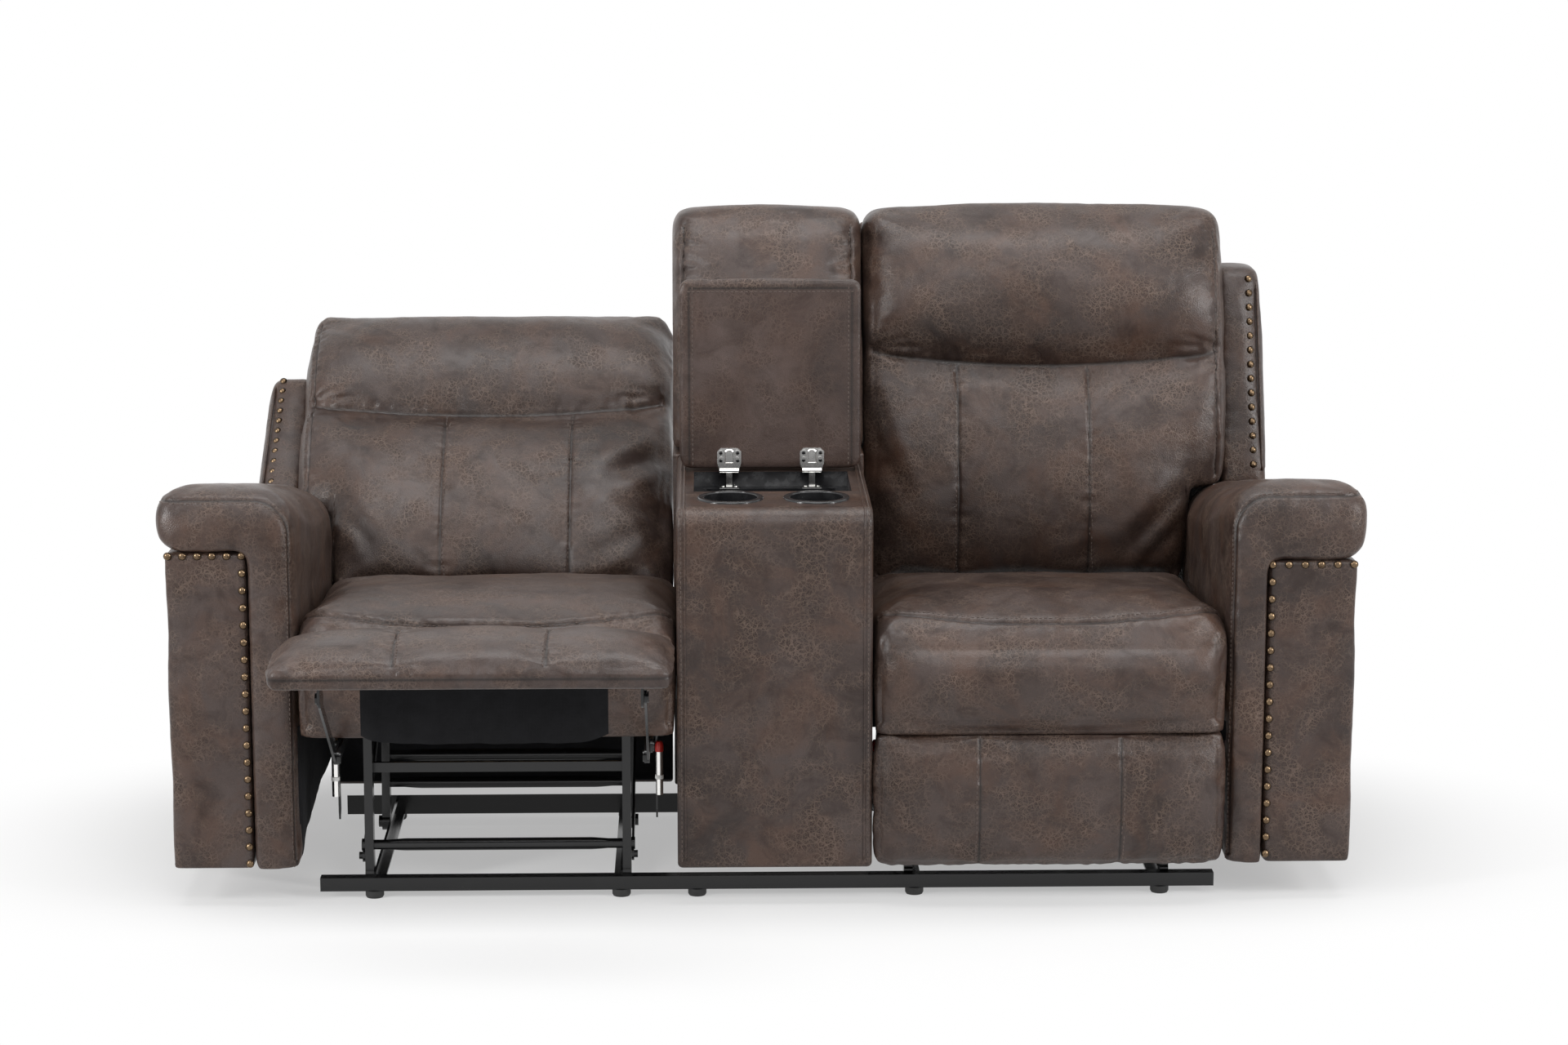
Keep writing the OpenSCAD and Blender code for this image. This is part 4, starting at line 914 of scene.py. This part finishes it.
def footrest_pad(side):
    x0, x1, y, z0, z1 = seat_in(side), SEAT_OUT, 11, 72, 272
    seams = [(row((x, CAST_Y, z0), (x, CAST_Y, z1)), FRONT, way) for x, way in channels(side)]
    seams.append((row((x0 + 8, y, -50), (x1 - 8, y, -50)), UP, 0))
    for x, inward in ((x0 - 50, (1, 0, 0)), (x1 + 50, (-1, 0, 0))):
        seams.append((row((x, y, z0), (x, y, z1)), inward, 0))
    return Pad(side + "_footrest_pad", side + "_footrest", side, "footrest", voxel=7,
               pressure=5.0, cap=9, seams=seams, give=2.4, fit=pad_top,
               extra=(side + "_footrest_board",), domes=[(field(x0, x1, 172, 112), 7, 4.5)],
               rigid=lambda p: p[:, 1] > 12, wide=7, dip=2.0, level=3.0,
               lining=lambda c, out: (out[:, 1] > 0.8) & (c[:, 0] > x0 + 24)
               & (c[:, 0] < x1 - 24) & (c[:, 2] > 88) & (c[:, 2] < 257))


def arm_roll(side):
    y, top, turn_x, turn_z, edge = -60, 663, 66, 607, 7
    seam = row((BAY + ARM_W + ROLL_OUT - 6, y, top), (BAY + turn_x, y, top), 30)
    seam += points_along(lambda t: (BAY + turn_x - (turn_x - edge) * math.sin(t * math.pi / 2),
                                    y, turn_z + (top - turn_z) * math.cos(t * math.pi / 2)), 16)
    seam += row((BAY + edge, y, turn_z - 7), (BAY + edge, y, SKIRT + 6))
    return Pad(side + "_arm_roll", "base", side, pressure=2.5, cap=5,
               seams=[(seam, FRONT, -1)], give=0.5, dip=2.0, pucker=0.5, wide=8,
               rigid=lambda p: (p[:, 2] < SKIRT + 14) | (p[:, 1] > 660)
               | ((p[:, 0] > BAY + BAND[side] - 12) & (p[:, 2] < ARM_H - ROLL_H[side] - 2)),
               lining=lambda c, out: (c[:, 2] < 292) & (c[:, 1] > 30) & (c[:, 0] < BAY + 20))


def wing(side):
    return Pad(side + "_wing", side + "_back", side, "back", voxel=7, pressure=2.5, cap=4,
               rigid=lambda p: (p[:, 0] < WING_IN + 6) | (p[:, 2] < 600), give=0.0, uneven=0.8)


def arm_panel(side):
    """The nails themselves are the CAD's; the leather is held and stays flat round them."""
    band = BAY + BAND[side]
    x0, x1 = band + NAIL_IN, BAY + ARM_W - NAIL_OUT
    z0 = ARM_H - ROLL_H[side] - NAIL_IN
    down = int((z0 - SKIRT) // NAIL_PITCH)
    across = round((x1 - x0) / (NAIL_PITCH * 0.9))
    spots = [(x0, z0 - i * NAIL_PITCH) for i in range(down + 1)]
    spots += [(x0 + (x1 - x0) * i / across, z0) for i in range(1, across + 1)]
    return Pad(side + "_arm_panel", "base", side, pressure=2.0, cap=4, nails=np.array(spots),
               give=1.0, rigid=lambda p: ((p[:, 1] > 22) & (p[:, 0] < BAY + ARM_W - 12))
               | (p[:, 2] < SKIRT + 8) | (p[:, 0] < band + 5))


def console_back():
    z0 = CONSOLE_H + 10
    seams = [(row((x, 300, z0), (x, 300, z0 + 372)), FRONT, way)
             for x, way in ((TOWER_X0 + 12, -1), (TOWER_X1 - 12, 1))]
    folds = [((x, z), (x + s * 46, z + tilt), 5, 2.2, XZ)
             for x, s in ((TOWER_X0 + 10, 1), (TOWER_X1 - 10, -1))
             for z, tilt in ((1000, -4), (978, -12), (956, 4), (930, -10), (905, 6))]
    return Pad("console_back", "base", "right", cap=8, seams=seams, folds=folds, give=0.0,
               domes=[(field(TOWER_X0, TOWER_X1, 852, 204), 12, 2.8)],
               rigid=lambda p: p[:, 1] > TOWER_REAR + (p[:, 2] - CONSOLE_H) * REAR_SLOPE - 4)


def lid():
    inset = 16
    x0, x1, z0, z1 = LID_X0 + inset, LID_X1 - inset, LID_Z0 + 10, LID_Z1 - inset
    seams = [(row((x0, 100, z0), (x0, 100, z1)), FRONT, -1),
             (row((x1, 100, z0), (x1, 100, z1)), FRONT, 1),
             (row((x0, 100, z1), (x1, 100, z1)), FRONT, -1)]
    return Pad("lid", "lid", "right", voxel=7, pressure=3.0, cap=7, seams=seams, give=0.4,
               rigid=lambda p: (p[:, 1] < LID_Y + 4) | (p[:, 2] < LID_Z0 + 8),
               dip=1.6, uneven=0.5, pucker=0.3, least=LID_Y + 0.2, lined_with=LINING,
               lining=lambda c, out: (out[:, 1] < -0.5) & (c[:, 2] < z1))


def make_pads():
    pads = [make(side) for side in SIDES
            for make in (back_cushion, seat_cushion, footrest_pad, arm_roll, wing)]
    return pads + [arm_panel(side) for side in SIDES] + [console_back(), lid()]


# Boxes covered with leather: the CAD solid with its long outer edges rounded. both() is asked
# about an edge's two ends, in millimetres of the model's own frame.
def soft_box(node, body, chosen, width=0.008, segments=4):
    mesh = joined_copy(node)
    with Editing(mesh) as bm:
        edges = [e for e in bm.edges if chosen(e)]
        bmesh.ops.bevel(bm, geom=edges, offset=width, segments=segments, profile=0.5,
                        affect="EDGES", clamp_overlap=True)
        bmesh.ops.recalc_face_normals(bm, faces=bm.faces)
    piece = add_piece(node + "_leather", mesh, body, LEATHER, (node,))
    mod = piece.modifiers.new("normals", "WEIGHTED_NORMAL")
    mod.keep_sharp = True
    return piece


def sharp(e, angle=50):
    return len(e.link_faces) == 2 and e.calc_face_angle(0) > math.radians(angle)


def both(e, test):
    return all(test(v.co * 1000) for v in e.verts)


def console_body():
    def side_edge(e):
        return sharp(e) and any(both(e, lambda v, x=x: abs(v.x - x) < 0.5)
                                for x in (CONSOLE_X0, CONSOLE_X1))

    def pocket_wall(c, out):
        return ((abs(out[:, 2]) < 0.5) & (c[:, 2] > 560) & (c[:, 2] < CONSOLE_H - 4)
                & (c[:, 1] > 140) & (c[:, 1] < 350)
                & (c[:, 0] > CONSOLE_X0 + 12) & (c[:, 0] < CONSOLE_X1 - 12))

    body = soft_box("console_body", "base", side_edge)
    m = pose("right")
    line_faces(body.data, m.inverted(), pocket_wall, TRAY)
    tree = tree_of(body.data)
    runs = []
    for x, way in ((CONSOLE_X0 + 13, -1), (CONSOLE_X1 - 13, 1)):
        line = [m @ Vector((x, y, CONSOLE_H)) for y in range(480, 26, -8)]
        line += [m @ Vector((x, 25 - BEND_R * math.sin(a),
                             CONSOLE_H - BEND_R + BEND_R * math.cos(a)))
                 for a in np.linspace(0.1, math.pi / 2, 8)]
        line += [m @ Vector((x, 25 - BEND_R, z)) for z in range(612, SKIRT + 8, -8)]
        runs.append((np.array(line), way))
    piping("console_body_welts", [line for line, way in runs], "base", 0.0021)
    stitches("console_body_stitches", runs, tree, "base", aside=0.006)


def rear_boxes():
    """The console's rear box, and the seats' rear panels with black cloth low on the inside."""
    soft_box("console_rear", "base", lambda e: sharp(e) and not both(
        e, lambda v: v.y < REAR_BOX_Y - FRONT_Y))
    for side in SIDES:
        panel = soft_box(side + "_rear_panel", side + "_back", lambda e: sharp(e, 60), 0.005, 3)
        m = pose(side, "back")
        with Editing(panel.data) as bm:
            bmesh.ops.bisect_plane(bm, geom=bm.verts[:] + bm.edges[:] + bm.faces[:],
                                   plane_co=m @ Vector((0, 700, LOW_Z)),
                                   plane_no=m.to_3x3() @ Vector(UP))
        line_faces(panel.data, m.inverted(),
                   lambda c, out: (out[:, 1] < -0.5) & (c[:, 2] < LOW_Z), CLOTH)


def wing_pipes():
    """A welt up the front edge of each wing; its top end turns in."""
    d = WING_OUT - WING_IN - 7
    for side in SIDES:
        m = pose(side, "back")
        line = []
        for t in np.linspace(0, 1, 40):
            z = WIDE_Z + 4 + t * (WING_H - WIDE_Z - 26)
            x = WING_IN + d + 16 * d / (WING_OUT - WING_IN) * (1 - z / WING_H)
            y = WING_FRONT + (z - WIDE_Z) * REAR_SLOPE + 3.5 + 9 * max(0, t * 20 - 19)
            line.append(m @ Vector((x, y, z)))
        piping(side + "_wing_welt", [line], side + "_back", 0.0026)


def flaps():
    """Dust flaps: thin cloth that hangs from the rear edge of each footrest."""
    nx, ny = 64, 28
    for side in SIDES:
        m = pose(side, "footrest")
        x0 = FLAP_MID[side] - FLAP_W / 2
        co = []
        for j in range(ny + 1):
            for i in range(nx + 1):
                u, v = i / nx, j / ny
                wave = 2.2 * math.sin(u * 23 + 1.3) * v + 1.6 * math.sin(u * 51) * v * v
                length = FLAP_L - 14 * (abs(2 * u - 1) ** 8)
                co.append(m @ Vector((x0 + u * FLAP_W, FLAP_Y + v * length, FLAP_Z + wave)))
        faces = [(j * (nx + 1) + i, j * (nx + 1) + i + 1, (j + 1) * (nx + 1) + i + 1,
                  (j + 1) * (nx + 1) + i) for j in range(ny) for i in range(nx)]
        mesh = new_mesh(side + "_flap_cloth", co, faces)
        piece = add_piece(side + "_flap_cloth", mesh, side + "_footrest", CLOTH,
                          (side + "_footrest_flap",))


def lathe(name, profile, centre, body, material, segments=24, turned=False):
    """A turned piece about the upright line through its centre, or turned to face forward."""
    co = []
    for r, z in profile:
        for k in range(segments):
            a = 2 * math.pi * k / segments
            d = (r * math.cos(a), r * math.sin(a), z)
            d = (d[0], -d[2], d[1]) if turned else d
            co.append(tuple((c + e) / 1000 for c, e in zip(centre, d)))
    mesh = new_mesh(name, co, tube_faces(0, len(profile), segments))
    piece = add_piece(name, mesh, body, material)
    mod = piece.modifiers.new("edges", "EDGE_SPLIT")
    mod.split_angle = math.radians(40)


SCREW = [(3.1, -0.2), (3.1, 0.5), (2.5, 1.1), (1.3, 1.3), (1.2, 0.7), (0.2, 0.7)]
STRAP = ((-7, 664), (7, 664), (7, 684), (4, 687), (-4, 687), (-7, 684))
STRAP_W, STRAP_MID, STRAP_HALF = 7, 675.5, 11


def hinge_trim():
    """Four screw heads and a raised strap on each leaf of the lid's hinges."""
    tree = tree_of(joined_copy("lid_hinge_leaves"))
    m = pose("right")
    lo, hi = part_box("lid_hinge_leaves")
    half = 20
    co, faces = [], []
    for tag, mid in (("a", lo.x * 1000 + half), ("b", hi.x * 1000 - half)):
        for k, (x, z) in enumerate(((-14, 668), (14, 668), (-14, 681), (14, 681))):
            for hit in cast(tree, m, [(mid + x, 250, z)], FRONT):
                lathe(f"hinge_screw_{tag}{k}", SCREW, hit * 1000, "lid", STEEL, 20,
                      turned=True)
        for hit in cast(tree, m, [(mid, 250, 676)], FRONT):
            face = hit[1] * 1000 + FRONT_Y
            faces += tube_faces(len(co), 3, len(STRAP))
            for inset, y in ((0, face + 0.2), (0, face - 1.6), (1.2, face - 2.6)):
                co += [m @ Vector((mid + x * (1 - inset / STRAP_W), y,
                                   STRAP_MID + (z - STRAP_MID) * (1 - inset / STRAP_HALF)))
                       for x, z in STRAP]
    mesh = new_mesh("hinge_straps", co, faces, outward=True)
    add_piece("hinge_straps", mesh, "lid", CHROME, smooth=False)


CAP = [(6.5, 232), (6.9, 233), (6.9, 240), (6.2, 244), (4.4, 248.6), (1.2, 249.4)]
RING = [(6.2, 186), (7.0, 186.6), (7.0, 192.4), (6.2, 193)]


def tube_caps():
    """A red cap and a white ring on each spring tube."""
    half = 6
    for side in SIDES:
        lo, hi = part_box(side + "_spring_tubes")
        for tag, x in (("a", lo.x * 1000 + half), ("b", hi.x * 1000 - half)):
            at = (x, lo.y * 1000 + half, 0)
            lathe(f"{side}_tube_cap_{tag}", CAP, at, "base", RED)
            lathe(f"{side}_tube_ring_{tag}", RING, at, "base", WHITE)


# Floor and light
def seen_ray(t):
    """1 for rays from the camera and for those that are mirrored or pass through, else 0."""
    path = t.nodes.new("ShaderNodeLightPath")
    out = path.outputs["Is Camera Ray"]
    for name in ("Is Glossy Ray", "Is Transmission Ray"):
        both = t.nodes.new("ShaderNodeMath")
        both.operation = "MAXIMUM"
        t.links.new(out, both.inputs[0])
        t.links.new(path.outputs[name], both.inputs[1])
        out = both.outputs[0]
    return out


def surroundings():
    """A floor that shows shadows near the sofa and is plain white further out, and light."""
    far = 60
    mesh = new_mesh("floor", [(-far, -far, 0), (far, -far, 0), (far, far, 0), (-far, far, 0)],
                    [(0, 1, 2, 3)])
    floor = placed("floor", mesh)
    n = Nodes("floor_white")
    n.set(color=(0.86, 0.86, 0.86), rough=0.6, spec=0.1)
    away = n.add("ShaderNodeVectorMath", {0: n.stretched((0.85, 1.55, 1.0))},
                 operation="LENGTH").outputs["Value"]
    edge = n.add("ShaderNodeMapRange", {"Value": away, "From Min": 0.8, "From Max": 1.35},
                 interpolation_type="SMOOTHSTEP").outputs["Result"]
    white = n.add("ShaderNodeEmission", {"Color": (1, 1, 1, 1), "Strength": 1.0})
    part = n.span(edge, 0.0, 1.0, 0.42, 1.0)
    blend = n.add("ShaderNodeMixShader", {0: n.math("MULTIPLY", part, seen_ray(n.t)),
                                          1: n.b.outputs[0], 2: white.outputs[0]})
    n.t.links.new(blend.outputs[0], n.t.nodes["Material Output"].inputs["Surface"])
    mesh.materials.append(n.m)
    world = bpy.data.worlds.new("studio")
    bpy.context.scene.world = world
    world.use_nodes = True
    t = world.node_tree
    bg = t.nodes["Background"]
    level = t.nodes.new("ShaderNodeMapRange")
    level.inputs["To Min"].default_value = 0.21
    level.inputs["To Max"].default_value = 1.0
    t.links.new(seen_ray(t), level.inputs["Value"])
    t.links.new(level.outputs["Result"], bg.inputs["Strength"])
    bg.inputs["Color"].default_value = (1, 1, 1, 1)
    for name, at, size, power, aim in (
            ("right", (3.3, -2.2, 1.9), (0.55, 2.0), 72, (0.3, 0, 0.6)),
            ("left", (-3.3, -2.2, 1.9), (0.55, 2.0), 86, (-0.3, 0, 0.6)),
            ("front", (0.2, -3.2, 3.6), (2.2, 1.0), 36, (0, 0.3, 0.8)),
            ("top", (0, -0.2, 3.6), (3.6, 1.6), 68, (0, 0, 0.5))):
        light = bpy.data.lights.new(name, "AREA")
        light.shape = "RECTANGLE"
        light.size, light.size_y = size
        light.energy = power
        obj = placed(name, light)
        obj.location = at
        obj.rotation_euler = (Vector(aim) - Vector(at)).to_track_quat("-Z", "Y").to_euler()


camera()
surroundings()
dress_nodes()
pads = make_pads()
for pad in pads:
    start(pad)
simulate(pads)
for pad in pads:
    finish_pad(pad)
console_body()
rear_boxes()
wing_pipes()
flaps()
hinge_trim()
tube_caps()

bpy.context.scene.view_settings.view_transform = "Standard"
